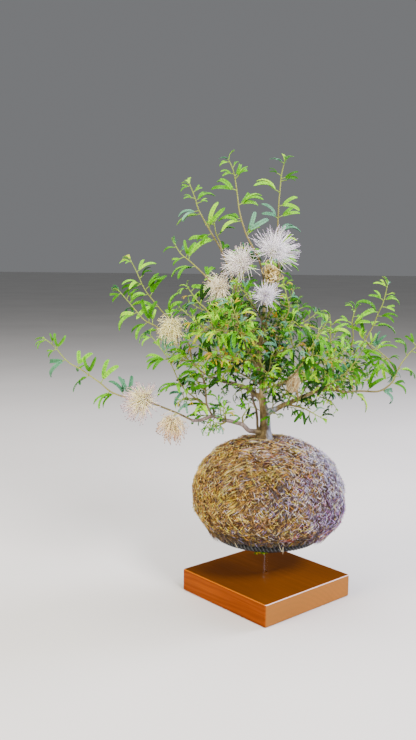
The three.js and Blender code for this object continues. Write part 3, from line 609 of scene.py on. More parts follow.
# Bundles of nearly parallel fibres cross each other like a wrapping, loose fibres lie between them, and short
# bristles stand out.
fibre = {
    "bundles": 700, "fibresPerBundle": 12, "bundleHalfWidth": 7.0, "bundleLength": 8.4,
    "bundleLengths": (0.5, 1.25), "asideShare": 0.6, "alongShare": 0.3, "aim": 0.16, "curl": 0.003,
    "depthSpread": 0.8,
    "loose": 32500, "looseLength": 6.0, "looseLengths": (0.5, 1.5), "looseCurl": 0.004,
    "steps": 3, "swell": (0, 1.25, 0), "jitter": 0.06, "thin": 0.11, "thick": 0.2,
    "bristles": 4600, "bristleLength": 3.9, "bristleLengths": (0.5, 1.45), "bristleRise": (0.35, 0.95),
    "bristleLean": 0.4, "bristleSag": 0.25, "bristleFoot": 0.5, "bristleDepth": -0.3,
    "bristleRadius": (0.17, 0.3), "bristleSwell": (0, 1, 0),
    "lowestTilt": -34.0, "evenPower": 2.5, "deepest": -2.0, "highest": 0.8, "depthPower": 1.25, "pieces": 3,
    # Most fibres lie on one of two slants. On the upper left the bundles follow each other round in long arcs.
    "slantShare": 0.8, "slant": 47, "slantSpread": 14,
    "combedWay": (-0.6, -0.55, 0.55), "combedReach": 0.74, "combedHeading": (0.75, -0.35, 0.6),
    "combedSpread": 0.1, "combedLonger": 1.35,
}

# Painted shade from the deepest layer to the highest, how bright single fibres are and how common that is, how
# wide the drifts of colour are, and how far the low colours and the painted shade low down reach up the ball.
fibreTones = {
    "deepShade": (0.13, 0.4, 0.86, 1.3), "halfDeep": 0.4,
    "speckle": [(0.16, 0.22), (0.66, 0.28), (1.2, 0.28), (2.1, 0.22)],
    "speckleSpread": (0.9, 1.1), "driftScale": 0.035, "sideDrift": 0.5, "lowBelow": 14, "lowReach": 28,
    "lowDrift": 0.6, "lowShare": 0.7, "together": 0.14, "patchDrift": 0.6, "brightest": 1.08, "lowDarker": 0.84,
    "tintSpread": 0.01, "darkest": 0.004,
}
fibreChannels = ("Red", "Green", "Blue")

# Random choices that belong to the fibres' looks come from here.
looksRandom = np.random.default_rng(613)

# Fibre colours, then how common each is at the left, the middle, the right and low down. The golden left and
# the pale lilac right are partly the fibres' own colours and partly painted light, warm from the left and cool
# from the right.
fibreColours = {
    "straw": "e0b860", "gold": "d89c24", "honey": "a46c1c", "umber": "4a2a14", "cream": "f2e4bc",
    "ash": "a6a0da", "mauve": "9468ac", "moss": "d4bc1c", "rust": "8a3416", "slate": "48526c",
    # The palest blue is painted cool light, not a colour of the fibres.
    "paintedCoolLight": "d8d8ff", "magenta": "8c3c80",
}
fibreMix = {
    "left": {"straw": 31, "gold": 37, "honey": 12, "umber": 6, "cream": 1, "moss": 10, "rust": 3},
    "middle": {"straw": 28, "gold": 18, "honey": 14, "umber": 9, "cream": 10, "ash": 10, "mauve": 2, "moss": 4,
               "rust": 3, "slate": 2},
    "right": {"straw": 3, "gold": 3, "honey": 2, "umber": 6, "cream": 5, "ash": 36, "mauve": 15, "moss": 1,
              "rust": 2, "slate": 2, "paintedCoolLight": 30},
    "low": {"straw": 8, "gold": 18, "honey": 27, "umber": 32, "cream": 2, "ash": 4, "mauve": 2, "moss": 3,
            "rust": 8},
}

# Stained patches, and two patches of painted cool light on the upper right: which way they lie from the ball's
# centre, their colour, how wide they are and how strong.
fibrePatches = [
    (-0.06, -0.86, 0.5, "moss", 0.11, 0.7), (-0.6, -0.78, 0.14, "moss", 0.12, 0.6),
    (0.36, -0.46, 0.81, "moss", 0.08, 0.7), (0.21, -0.94, 0.26, "gold", 0.05, 0.8),
    (-0.31, -0.9, -0.3, "moss", 0.07, 0.7), (-0.09, -0.07, 0.99, "moss", 0.16, 0.35),
    (0.08, -0.97, 0.2, "slate", 0.2, 0.4), (0.41, -0.8, 0.43, "rust", 0.12, 0.3),
    (0.22, -0.88, -0.4, "rust", 0.09, 0.75), (-0.6, -0.74, 0.3, "rust", 0.1, 0.25),
    (-0.38, -0.05, 0.92, "umber", 0.25, 0.35), (0.68, -0.73, 0.0, "magenta", 0.16, 0.42),
    (0.88, -0.33, -0.34, "magenta", 0.16, 0.5), (0.8, -0.5, -0.15, "mauve", 0.34, 0.4),
    (0.74, -0.3, 0.6, "paintedCoolLight", 0.4, 0.45), (0.93, -0.25, 0.2, "paintedCoolLight", 0.24, 0.35),
]


def fibreMaterial():
    material, tree, shader = newMaterial("dry fibre", {
        "Roughness": 0.7, "Specular IOR Level": 0.3, "Sheen Weight": 0.15, "Sheen Roughness": 0.5})
    own = addNode(tree, "CombineColor", {c: attribute(tree, "fibre" + c) for c in fibreChannels})
    specks = noiseOf(tree, objectPlace(tree), 900, 3, 0.65)
    linkLooks(tree, shader, mixed(tree, valueRange(tree, specks, 0.45, 0.75, 0.0, 0.22), own.outputs["Color"],
                                  "5a3a20"))
    raised(tree, shader, specks, 0.4, 0.0003)
    return material


def tintValues(tints):
    return {"fibre" + c: list(tints[:, i]) for i, c in enumerate(fibreChannels)}


# Ways from the ball's centre that lie evenly over its free surface.
def waysOver(count, random):
    drawnCount = count * 2
    height = random.uniform(math.sin(math.radians(fibre["lowestTilt"])), 1, drawnCount)
    azimuth = random.uniform(0, 2 * math.pi, drawnCount)
    flat = np.sqrt(1 - height ** 2)
    ways = np.stack([flat * np.cos(azimuth), flat * np.sin(azimuth), height], axis=1)
    reach = np.linalg.norm(ballSurface(ways) - ballCentre, axis=1) / ball["radius"]
    return ways[random.uniform(0, 1, drawnCount) < reach ** fibre["evenPower"]][:count]


# Ways along the ball's surface that turn up from level by the given angles.
def waysAlong(normals, turns):
    level = unitRows(np.cross(normals, up + 0.01))
    return level * np.cos(turns)[:, None] + np.cross(normals, level) * np.sin(turns)[:, None]


def slantTurns(count, random):
    slants = np.radians(random.normal(fibre["slant"], fibre["slantSpread"], count))
    return slants * random.choice([-1, 1], count)


# Where each fibre starts, then its way, bend, layer, length and bundle. Loose ones have no bundle, which is -1.
def bundledStarts(random):
    count = fibre["bundles"]
    centres = ballSurface(waysOver(count, random))
    normals = outwardAt(centres)
    turns = slantTurns(count, random)
    turns = np.where(random.uniform(0, 1, count) < fibre["slantShare"], turns,
                     random.uniform(0, math.pi, count))
    outward = unitRows(centres - ballCentre)
    combed = (outward @ unit(np.array(fibre["combedWay"])) > fibre["combedReach"])[:, None]
    arcs = np.array(fibre["combedHeading"]) + random.normal(0, fibre["combedSpread"], (count, 3))
    arcs = unitRows(arcs - normals * (arcs * normals).sum(axis=1)[:, None])
    headings = np.where(combed, arcs, waysAlong(normals, turns))
    across = np.cross(normals, headings)
    curls = random.normal(0, fibre["curl"], count)
    depths = layerDepths(count, random)
    owner = np.repeat(np.arange(count), fibre["fibresPerBundle"])
    total = len(owner)
    aside = random.normal(0, fibre["bundleHalfWidth"] * fibre["asideShare"], total)[:, None]
    along = random.normal(0, fibre["bundleLength"] * fibre["alongShare"], total)[:, None]
    starts = centres[owner] + across[owner] * aside + headings[owner] * along
    directions = headings[owner] + across[owner] * random.normal(0, fibre["aim"], total)[:, None]
    curls = curls[owner] + random.normal(0, fibre["curl"], total)
    deeper = fibre["depthSpread"]
    depths = depths[owner] + random.uniform(-deeper, deeper, total)
    lengths = fibre["bundleLength"] * random.uniform(*fibre["bundleLengths"], total)
    lengths *= np.where(combed[:, 0], fibre["combedLonger"], 1)[owner]
    return starts, directions, curls, depths, lengths, owner


# Few fibres lie right on top, so gaps show between them, dark with the painted shade of the deeper fibres.
def layerDepths(count, random):
    low, high = fibre["deepest"], fibre["highest"]
    return low + (high - low) * random.uniform(0, 1, count) ** fibre["depthPower"]


def looseStarts(random):
    count = fibre["loose"]
    starts = ballSurface(waysOver(count, random))
    turns = slantTurns(count, random)
    anyWay = random.uniform(0, 1, count) > fibre["slantShare"]
    turns[anyWay] = random.uniform(0, math.pi, anyWay.sum())
    return (starts, waysAlong(outwardAt(starts), turns), random.normal(0, fibre["looseCurl"], count),
            layerDepths(count, random),
            fibre["looseLength"] * random.uniform(*fibre["looseLengths"], count),
            np.full(count, -1))


# Fibres step along the ball's surface, each turning a little as it goes.
def layFibres(starts, directions, bends, layers, lengths):
    lowest, steps = math.radians(fibre["lowestTilt"]), fibre["steps"]

    def onBall(places):
        ways = unitRows(places - ballCentre)
        tilts = np.maximum(np.arcsin(ways[:, 2]), lowest)
        flat = unitRows(ways * [1, 1, 0] + 1e-9)
        return ballSurface(flat * np.cos(tilts)[:, None] + up * np.sin(tilts)[:, None])

    stride = (lengths / (steps - 1))[:, None]
    point = onBall(starts)
    heading = unitRows(directions)
    rows = []
    for _ in range(steps):
        normal = outwardAt(point)
        rows.append(point + normal * layers[:, None])
        heading = unitRows(heading + np.cross(normal, heading) * (bends * stride[:, 0])[:, None])
        further = onBall(point + heading * stride)
        step = further - point
        size = np.linalg.norm(step, axis=1)[:, None]
        heading = np.where(size > 1e-6, step / np.maximum(size, 1e-9), heading)
        point = further
    return np.stack(rows, axis=1)


# Short hairs that lean away from the ball, so that its outline is rough.
def bristlePaths(random):
    count = fibre["bristles"]
    feet = ballSurface(waysOver(count, random))
    normals = outwardAt(feet)
    lean = unitRows(np.cross(normals, random.normal(0, 1, (count, 3))))
    length = (fibre["bristleLength"] * random.uniform(*fibre["bristleLengths"], count))[:, None]
    rise = random.uniform(*fibre["bristleRise"], count)[:, None]
    way = normals * rise + lean * (1 - fibre["bristleLean"] * rise)
    rows = [feet - normals * fibre["bristleFoot"] + way * length * share
            - normals * (fibre["bristleSag"] * length * share ** 2)
            for share in np.linspace(0, 1, fibre["steps"])]
    return np.stack(rows, axis=1)


def fibreTints(places, kin, layers):
    random, tones = looksRandom, fibreTones
    names = list(fibreColours)
    palette = np.array([srgb(fibreColours[n])[:3] for n in names])
    mixes = {zone: np.array([amounts.get(n, 0) for n in names], float) for zone, amounts in fibreMix.items()}
    drift = np.array([noise.noise(Vector(p) * tones["driftScale"]) for p in places])
    side = np.clip(places[:, 0] / ball["radius"] + drift * tones["sideDrift"], -1, 1)[:, None]
    low = np.clip((ball["centreZ"] - tones["lowBelow"] - places[:, 2]) / tones["lowReach"]
                  + drift * tones["lowDrift"], 0, 1)[:, None]
    weights = (mixes["left"] * np.clip(-side, 0, 1) + mixes["right"] * np.clip(side, 0, 1)
               + mixes["middle"] * (1 - np.abs(side)))
    weights = weights * (1 - tones["lowShare"] * low) + mixes["low"] * tones["lowShare"] * low
    shares = np.cumsum(weights / weights.sum(axis=1)[:, None], axis=1)
    picks = random.uniform(0, 1, len(places))
    bundleDraw = random.uniform(0, 1, fibre["bundles"])
    together = (kin >= 0) & (random.uniform(0, 1, len(places)) < tones["together"])
    picks[together] = bundleDraw[kin[together]]
    chosen = (picks[:, None] > shares).sum(axis=1).clip(0, len(names) - 1)
    ways = unitRows(places - ballCentre)
    for x, y, z, colour, reach, strength in fibrePatches:
        away = np.linalg.norm(ways - unit(np.array((x, y, z))), axis=1) / reach + drift * tones["patchDrift"]
        stained = random.uniform(0, 1, len(places)) < strength * np.exp(-away ** 2)
        chosen[stained] = names.index(colour)
    # Painted shade: the lower a fibre lies in the layers, and on the ball, the darker it is.
    deepest, highest = fibre["deepest"], fibre["highest"]
    shade = np.interp(layers, [deepest, deepest * tones["halfDeep"], 0, highest], tones["deepShade"])
    factors, odds = np.array(tones["speckle"]).T
    speckle = random.choice(factors, len(places), p=odds)
    speckle = speckle * random.uniform(*tones["speckleSpread"], len(places))
    bright = shade * speckle * (tones["brightest"] - tones["lowDarker"] * low[:, 0])
    tints = palette[chosen] * bright[:, None]
    return np.clip(tints + random.normal(0, tones["tintSpread"], tints.shape), tones["darkest"], 1)


def makeFibres():
    random, steps = looksRandom, fibre["steps"]
    paths, sizes, layerList, tintList = [], [], [], []
    for starts in (bundledStarts, looseStarts):
        start, way, bend, layers, lengths, kin = starts(random)
        count = len(start)
        places = layFibres(start, way, bend, layers, lengths)
        places = places + random.normal(0, fibre["jitter"], (count, steps, 3))
        widths = random.uniform(fibre["thin"], fibre["thick"], count)
        paths += list(places)
        sizes += list(widths[:, None] * np.array(fibre["swell"]))
        layerList.append(layers)
        tintList.append(fibreTints(places[:, steps // 2], kin, layers))
    bristles = bristlePaths(random)
    count = len(bristles)
    paths += list(bristles)
    widths = random.uniform(*fibre["bristleRadius"], count)
    sizes += list(widths[:, None] * np.array(fibre["bristleSwell"]))
    layerList.append(random.uniform(fibre["bristleDepth"], fibre["highest"], count))
    tintList.append(fibreTints(bristles[:, 1], np.full(count, -1), layerList[-1]))
    tints = np.concatenate(tintList)
    material = fibreMaterial()
    order = np.argsort(np.concatenate(layerList), kind="stable")
    for part, chosen in enumerate(np.array_split(order, fibre["pieces"])):
        mesh = strandMesh("fibres", [paths[k] for k in chosen], [sizes[k] for k in chosen],
                          values=tintValues(tints[chosen]))
        finishPiece(f"ball_fibres_{part + 1}", mesh, [material])


makeFibres()


# The plant's own measures: centre lines and radii, as in the solids.
limbs = {
    "trunk": {"radii": [9.2, 8.6, 6.6, 5.0, 3.9, 3.4, 3.0, 2.7, 2.2, 1.7], "points": [
        [-4, 0, 161], [-4, 0, 175], [-4, 0, 184], [-5, 0, 201], [-7, 0, 217], [-8, 2, 233], [-10, 4, 250],
        [-11, 4, 269], [-9, 2, 289], [-8, 0, 306]]},
    "lowerLeft": {"radii": [2.6, 1.6], "points": [
        [-5, -2, 181], [-21, -12, 185], [-28, -15, 191], [-38, -17, 195], [-51, -19, 198], [-61, -20, 202],
        [-73, -24, 198], [-83, -28, 199]]},
    "thinStem": {"radii": [1.7, 1.2], "points": [
        [-11, -4, 168], [-12, -5, 186], [-13, -4, 199], [-16, 2, 212], [-20, 8, 225]]},
    "upperLeft": {"radii": [2.6, 1.5], "points": [
        [-7, 0, 216], [-20, 8, 225], [-33, 14, 230], [-51, 20, 233], [-66, 24, 238]]},
    "right": {"radii": [3.1, 1.5], "points": [
        [-4, 0, 202], [7, -4, 207], [17, -8, 213], [30, -10, 219], [48, -12, 228], [63, -14, 230],
        [78, -18, 228]]},
    "leaderLeft": {"radii": [1.7, 1.3], "points": [[-8, 0, 303], [-7, -4, 327], [-9, -8, 348]]},
    "leaderRight": {"radii": [2.0, 1.3], "points": [[-9, 2, 287], [-1, 6, 310], [5, 10, 333], [8, 12, 358]]},
    "upperArm": {"radii": [2.1, 1.3], "points": [
        [-11, 4, 267], [-24, 10, 299], [-35, 14, 327], [-44, 12, 354]]},
    "leftArm": {"radii": [1.9, 1.2], "points": [
        [-11, 4, 262], [-16, 0, 270], [-33, -10, 296], [-50, -18, 323]]},
    "frontRight": {"radii": [1.9, 1.3], "points": [[-7, 0, 220], [8, -24, 236], [20, -50, 250]]},
    "frontLeft": {"radii": [1.9, 1.3], "points": [[-9, 2, 243], [-20, -24, 262], [-30, -50, 282]]},
    "backRight": {"radii": [1.9, 1.3], "points": [[-8, 2, 231], [0, 25, 245], [10, 50, 262]]},
    "backLeft": {"radii": [1.9, 1.3], "points": [[-10, 4, 253], [-22, 28, 270], [-36, 50, 288]]},
}

# Each twig of a shoot, the main one first.
shoots = {
    "shoot_top_left": [
        [[-9, -8, 347], [-15, -10, 367], [-25, -8, 385], [-30, -6, 397], [-35, -4, 414], [-37, -2, 428],
         [-39, 0, 442], [-42, 0, 456], [-47, 0, 467]]],
    "shoot_top_right": [
        [[8, 12, 357], [7, 10, 380], [6, 8, 398], [6, 6, 419], [7, 4, 437], [8, 2, 452], [11, 0, 466]]],
    "shoot_upper_left": [
        [[-44, 12, 353], [-53, 8, 374], [-62, 4, 389], [-71, 0, 404], [-78, -2, 417], [-81, -4, 427],
         [-87, -4, 442]],
        [[-53, 8, 374], [-55, 16, 384], [-59, 20, 392], [-61, 22, 404]]],
    "shoot_left_high": [
        [[-50, -18, 322], [-65, -20, 343], [-76, -18, 354], [-86, -16, 363], [-95, -14, 370],
         [-101, -12, 379]]],
    "shoot_left_tall": [
        [[-61, -20, 202], [-67, -19, 214], [-68, -18, 226], [-70, -16, 237], [-74, -14, 247],
         [-83, -12, 260], [-86, -10, 275], [-96, -8, 288], [-105, -6, 300], [-115, -4, 310], [-125, -4, 322],
         [-132, -4, 331], [-137, -2, 340], [-142, 0, 351], [-149, 2, 364]],
        [[-96, -8, 288], [-110, -16, 289], [-121, -20, 296], [-132, -22, 302], [-141, -22, 312],
         [-149, -20, 321], [-158, -18, 331]],
        [[-67, -19, 214], [-74, -22, 217], [-82, -26, 224], [-89, -28, 230], [-96, -30, 240],
         [-104, -32, 258], [-112, -34, 271], [-125, -36, 288]]],
    "shoot_left_long": [
        [[-83, -28, 199], [-94, -31, 205], [-107, -34, 211], [-125, -36, 218], [-141, -36, 222],
         [-154, -34, 224], [-167, -32, 229], [-177, -30, 237], [-188, -27, 244], [-199, -24, 251],
         [-210, -20, 256], [-219, -17, 264], [-227, -14, 273], [-238, -12, 281]]],
    "shoot_left_inner": [
        [[-33, -10, 296], [-45, -28, 300], [-59, -40, 304], [-69, -42, 316], [-77, -42, 323], [-88, -40, 338]],
        [[-45, -28, 300], [-56, -32, 292], [-68, -32, 291], [-76, -34, 298], [-82, -36, 305], [-95, -36, 316]]],
    "shoot_left_back": [[[-66, 24, 238], [-76, 30, 244], [-86, 36, 252], [-95, 42, 262], [-104, 48, 272]]],
    "shoot_low_sprig": [[[-28, -15, 191], [-29, -17, 201], [-23, -18, 210]]],
    "shoot_right_tall": [
        [[48, -12, 228], [55, -4, 241], [67, 4, 249], [78, 8, 252], [87, 10, 261], [95, 10, 271],
         [102, 8, 281], [107, 6, 291], [111, 4, 301], [114, 2, 311], [118, 0, 321], [122, 0, 340]],
        [[87, 10, 261], [87, 6, 273], [88, 2, 286], [86, 0, 301], [89, -2, 315]],
        [[67, 4, 249], [65, 0, 265], [63, -6, 282], [62, -8, 297], [61, -8, 308]],
        [[102, 8, 281], [109, 8, 272], [118, 6, 265], [127, 4, 256], [131, 4, 245]]],
    "shoot_right_long": [
        [[78, -18, 228], [93, -20, 230], [111, -22, 230], [121, -22, 235], [128, -20, 242], [131, -18, 249],
         [135, -16, 257], [141, -14, 265], [149, -10, 273], [158, -8, 280], [165, -6, 286]],
        [[131, -18, 249], [123, -22, 262], [115, -24, 269], [106, -26, 276], [94, -28, 285]]],
    "shoot_right_middle": [[[66, -15, 230], [78, -10, 237], [91, -8, 241], [106, -8, 246]]],
    "shoot_right_low": [[[17, -8, 213], [27, -20, 213], [35, -28, 212], [44, -34, 208], [52, -38, 204]]],
    "shoot_right_inner": [
        [[19, -8, 214], [24, -2, 224], [31, 0, 233], [38, 2, 240], [48, 6, 252]],
        [[38, 2, 240], [33, 4, 250], [26, 6, 258]]],
    "shoot_middle_front": [
        [[-9, 2, 287], [4, -6, 296], [13, -14, 304], [17, -18, 314], [15, -18, 326], [11, -16, 341]]],
    "shoot_front_right": [
        [[20, -50, 250], [26, -68, 264], [32, -84, 280], [38, -96, 294], [44, -106, 308]],
        [[26, -68, 264], [40, -76, 266], [54, -82, 272], [66, -84, 281]]],
    "shoot_front_left": [
        [[-30, -50, 282], [-34, -66, 297], [-40, -82, 312], [-46, -94, 328]],
        [[-34, -66, 297], [-50, -74, 296], [-64, -80, 299], [-77, -85, 305]]],
    "shoot_back_right": [
        [[10, 50, 262], [14, 70, 282], [20, 86, 298], [28, 98, 313], [34, 106, 330]],
        [[14, 70, 282], [30, 78, 287], [46, 84, 294], [60, 88, 304]]],
    "shoot_back_left": [
        [[-36, 50, 288], [-46, 70, 306], [-54, 84, 323], [-60, 94, 341]],
        [[-46, 70, 306], [-60, 74, 305], [-76, 78, 308], [-88, 82, 315]]],
    "shoot_right_back": [
        [[31, -10, 219], [41, 12, 230], [52, 34, 243], [62, 50, 256], [72, 62, 268], [80, 72, 283]]],
    "shoot_right_front": [[[49, -12, 228], [58, -30, 237], [70, -44, 249], [80, -54, 263], [88, -60, 278]]],
    "shoot_left_front": [
        [[-20, -24, 262], [-36, -38, 262], [-54, -50, 268], [-70, -60, 276], [-84, -68, 287]]],
    "shoot_upper_back": [[[5, 10, 334], [11, 28, 346], [14, 44, 361], [19, 56, 377]]],
    "shoot_crown_back": [[[-35, 14, 328], [-30, 32, 344], [-26, 46, 360], [-24, 56, 378]]],
}

innerShoots = {
    "count": 14, "lowestZ": 226, "highestZ": 318, "shortest": 52, "longest": 84, "goldenAngle": 137.5,
    "heightShare": 0.85, "upperShorter": 0.2, "attempts": 24, "turnStep": 15, "rise": (12, 34, 5),
    "clearRadius": 1.5, "clearGap": 1.6, "shares": (0, 0.2, 0.42, 0.62, 0.82, 1), "sway": 1.3,
    "arch": (1.25, 0.35),
}

flowers = {
    "flower_puff_1": {"radius": 28, "faces": [0.3, -0.35, 0.85], "reach": -0.15, "stamens": 31,
                      "stalk": [[-8, -6, 338], [-5, -14, 353], [0, -10, 373]]},
    "flower_puff_2": {"radius": 24, "faces": [-0.5, -0.5, 0.5], "reach": -0.25, "stamens": 26,
                      "stalk": [[-41, -14, 309], [-38, -20, 334], [-33, -19, 361]]},
    "flower_puff_3": {"radius": 20, "faces": [-0.6, -0.6, 0.1], "reach": -0.2, "stamens": 24,
                      "stalk": [[-49, -17, 321], [-51, -25, 329], [-54, -30, 338]]},
    "flower_puff_4": {"radius": 17, "faces": [0.1, -0.9, 0.3], "reach": -0.1, "stamens": 20,
                      "stalk": [[-7, -3, 322], [-8, -18, 322], [-8, -31, 329]]},
    "flower_puff_5": {"radius": 20, "faces": [0, -0.7, -0.4], "reach": -0.45, "stamens": 26,
                      "stalk": [[-100, -7, 293], [-104, -14, 297], [-104, -21, 298]]},
    "flower_puff_6": {"radius": 23, "faces": [-0.3, -0.6, 0.3], "reach": -0.45, "stamens": 26,
                      "stalk": [[-125, -36, 218], [-128, -43, 222], [-131, -49, 223]]},
    "flower_puff_7": {"radius": 18, "faces": [-0.2, -0.6, -0.5], "reach": -0.2, "stamens": 24,
                      "stalk": [[-97, -32, 206], [-100, -38, 206], [-102, -44, 203]]},
}

driedFlowers = {
    "dried_flower_1": {"radius": 12, "stalk": [[-8, -5, 334], [-5, -14, 342], [-2, -22, 351]]},
    "dried_flower_2": {"radius": 9, "stalk": [[30, -10, 219], [28, -16, 227], [23, -20, 237]]},
}

outlineShoots = [
    "shoot_top_left", "shoot_top_right", "shoot_upper_left", "shoot_left_high", "shoot_left_tall",
    "shoot_left_long", "shoot_right_tall", "shoot_right_long"]


# The woody trunk and limbs.
wood = {"step": 2.2, "waver": 0.7, "waverScale": 0.12, "steadyPoints": 4, "sides": 12, "rootFlare": 1.55,
        "flareFrom": 3, "flareReach": 5, "voxel": 0.75, "smoothing": 3, "keepShare": 0.3, "knots": 0.28,
        "knotScale": 0.55, "knotSquash": 0.35}


def barkMaterial():
    material, tree, shader = newMaterial("bark", {"Specular IOR Level": 0.3})
    place = objectPlace(tree)
    grooves = noiseOf(tree, mapped(tree, place, scale=(700, 700, 120)), 1.0, 4, 0.65)
    patches = noiseOf(tree, place, 70, 3, 0.65)
    base = ramp(tree, patches, [(0.3, "483824"), (0.44, "6e5e38"), (0.56, "8e7c54"), (0.7, "b0a282")])
    split = apart(tree, place)
    # One side of the trunk is painted blue grey, a painted cool light from the right, and young wood higher up
    # is olive.
    side = maths(tree, "ADD", split["X"], valueRange(tree, patches, 0.3, 0.7, -0.003, 0.003))
    band = maths(tree, "MULTIPLY", valueRange(tree, side, -0.005, -0.001), valueRange(tree, side, 0.009, 0.005))
    paintedCoolSide = maths(tree, "MULTIPLY", band, valueRange(tree, split["Z"], 0.26, 0.22), clamp=True)
    greyed = maths(tree, "MULTIPLY", valueRange(tree, split["X"], -0.012, -0.021, 0.0, 0.66),
                   valueRange(tree, split["Z"], 0.25, 0.22))
    greyedAndCoolSide = mixed(tree, maths(tree, "MULTIPLY", paintedCoolSide, 0.75), mixed(tree, greyed, base, "83747c"), "9da6bc")
    young = mixed(tree, valueRange(tree, split["Z"], 0.21, 0.3, 0.0, 0.55), greyedAndCoolSide, "7f7838")
    linkLooks(tree, shader, mixed(tree, valueRange(tree, grooves, 0.42, 0.68, 0.0, 0.8), young, "3a2a1a"),
              valueRange(tree, grooves, 0.3, 0.7, 0.6, 0.85))
    raised(tree, shader, grooves, 0.7, 0.0008)
    return material


def limbRadii(limb):
    given, count = limb["radii"], len(limb["points"])
    return given if len(given) == count else list(np.linspace(given[0], given[1], count))


def makeWood():
    paths, radii = [], []
    for name, limb in limbs.items():
        path, size = smoothed(limb["points"], limbRadii(limb), wood["step"])
        if name != "trunk":
            gone = np.maximum(np.arange(len(path)) * wood["step"] - wood["flareFrom"], 0)
            size = size * (1 + (wood["rootFlare"] - 1) * np.exp(-gone / wood["flareReach"]))
        waver = [[noise.noise(Vector(p) * wood["waverScale"] + Vector((9 * k, 3, 1))) for k in range(3)]
                 for p in path]
        ease = np.clip(np.arange(len(path)) / wood["steadyPoints"], 0, 1)[:, None]
        path, size = closedEnds(path + np.array(waver) * wood["waver"] * ease, size)
        paths.append(path)
        radii.append(size)
    holder = newObject("wood", strandMesh("wood", paths, radii, sides=wood["sides"]))
    remesh = holder.modifiers.new("grown together", "REMESH")
    remesh.mode, remesh.voxel_size = "VOXEL", wood["voxel"]
    smooth = holder.modifiers.new("smooth", "SMOOTH")
    smooth.factor, smooth.iterations = 0.5, wood["smoothing"]
    holder.modifiers.new("fewer faces", "DECIMATE").ratio = wood["keepShare"]
    bm = opened(evaluatedMesh(holder))
    bpy.data.objects.remove(holder)
    for vert in bm.verts:
        squashed = Vector((vert.co.x, vert.co.y, vert.co.z * wood["knotSquash"]))
        ridge = noise.fractal(squashed * wood["knotScale"], 0.9, 2.1, 3)
        vert.co += vert.normal * ridge * wood["knots"]
    finishPiece("trunk_and_limbs", meshOf(bm, "wood", smooth=True), [barkMaterial()], ["woody_stems"])


makeWood()


# Where the leaves, flowers and short shoots go: the same places as in the solids.
spread = {
    "seed": 20417, "spacing": 14.5, "innerSpacing": 19, "spacingSpread": (0.88, 1.12), "firstBack": 2.5,
    "bareBase": 9, "gap": 0.5, "attempts": 7, "ownShare": 0.5, "room": 24000,
    "leafLength": 21.5, "leafWidth": 5.6, "lengthSpread": (0.88, 1.12), "attemptShorter": 0.05,
    "bladeEnd": 1.2, "bladeShare": 0.47, "bladeSpread": (15, 28), "droopSpread": (0.7, 1.3), "secondDroop": 0.9,
    "sideTurn": 38, "attemptTurn": 29, "outward": 0.9, "forward": (0.15, 0.6), "faceFront": 0.7, "faceTurn": 32,
    "firstGrowth": 0.5, "growthStep": 0.25, "stalk": 4, "stalkSpread": (0.8, 1.3), "stalkLeast": 1,
    "stalkRadius": 0.6, "ballRoom": (4, 5),
    "twigRoot": 1.5, "sideTwigRoot": 1.15, "twigTip": 0.55,
    "flowerStalk": 1, "coreShare": 0.27, "stamenRoot": 0.75, "stamenReach": (0.84, 1.06), "clearGap": 0.3,
    "stamenTurn": 2.39996,
}
bladeShapes = {
    "full": {"shares": [0.32, 0.42, 0.26], "tilts": [24, -10, -48]},
    "plain": {"shares": [0.5, 0.5], "tilts": [16, -34]},
}
# The growth rules draw from this generator, which is the one that the solids were made with.
drawn = {"state": spread["seed"], "factor": 16807, "limit": 2147483647}


def between(low, high):
    drawn["state"] = drawn["state"] * drawn["factor"] % drawn["limit"]
    return low + (high - low) * (drawn["state"] / drawn["limit"])


def pointsOf(rows):
    return [np.array(row, float) for row in rows]


# Every stem, blade and stamen is kept as a round-ended rod, so that new ones keep off the others.
rods = {"a": np.zeros((spread["room"], 3)), "b": np.zeros((spread["room"], 3)),
        "radius": np.zeros(spread["room"]), "owner": np.zeros(spread["room"], int),
        "kind": np.zeros(spread["room"], int), "count": 0}
ownerNumbers = {}
kinds = {"limb": 1, "twig": 2, "core": 3, "stamen": 4, "leaf": 5}


def numberOf(owner):
    return ownerNumbers.setdefault(owner, len(ownerNumbers))


def addRods(owner, points, radii, kind):
    for i in range(len(points) - 1):
        k = rods["count"]
        rods["a"][k], rods["b"][k] = points[i], points[i + 1]
        rods["radius"][k] = max(radii[i], radii[i + 1])
        rods["owner"][k], rods["kind"][k] = numberOf(owner), kinds[kind]
        rods["count"] += 1


def rodDistances(p, q):
    count = rods["count"]
    a2, b2 = rods["a"][:count], rods["b"][:count]
    d1, d2 = q - p, b2 - a2
    r = p - a2
    a = max(d1 @ d1, 1e-9)
    e = np.maximum(np.einsum("ij,ij->i", d2, d2), 1e-9)
    b, c, f = d2 @ d1, r @ d1, np.einsum("ij,ij->i", d2, r)
    denominator = a * e - b * b
    solid = denominator > 1e-9
    s = np.where(solid, np.clip((b * f - c * e) / np.where(solid, denominator, 1), 0, 1), 0)
    t = (b * s + f) / e
    outside = (t < 0) | (t > 1)
    t = np.clip(t, 0, 1)
    s = np.where(outside, np.clip((b * t - c) / a, 0, 1), s)
    return np.linalg.norm(p + s[:, None] * d1 - a2 - t[:, None] * d2, axis=1)


# The first stretch may start in its own twig, or in a host of the kind that is named.
def keepsClear(owner, points, radii, sameOwnerShare, gap, rootKind=None):
    count = rods["count"]
    own = rods["owner"][:count] == numberOf(owner)
    kind = rods["kind"][:count]
    for i in range(len(points) - 1):
        radius = max(radii[i], radii[i + 1])
        both = radius + rods["radius"][:count]
        room = np.where(own, both * sameOwnerShare, both + gap)
        near = rodDistances(points[i], points[i + 1]) < room
        if i == 0:
            near &= ~np.where(own, kind == kinds["twig"], kind == kinds.get(rootKind, 0))
        if near.any():
            return False
    return True


def bladeLine(apex, heading, face, length, droop, shape):
    places = [apex]
    for share, tilt in zip(shape["shares"], shape["tilts"]):
        angle = math.radians(tilt * droop)
        places.append(places[-1] + (heading * math.cos(angle) + face * math.sin(angle)) * (length * share))
    return places


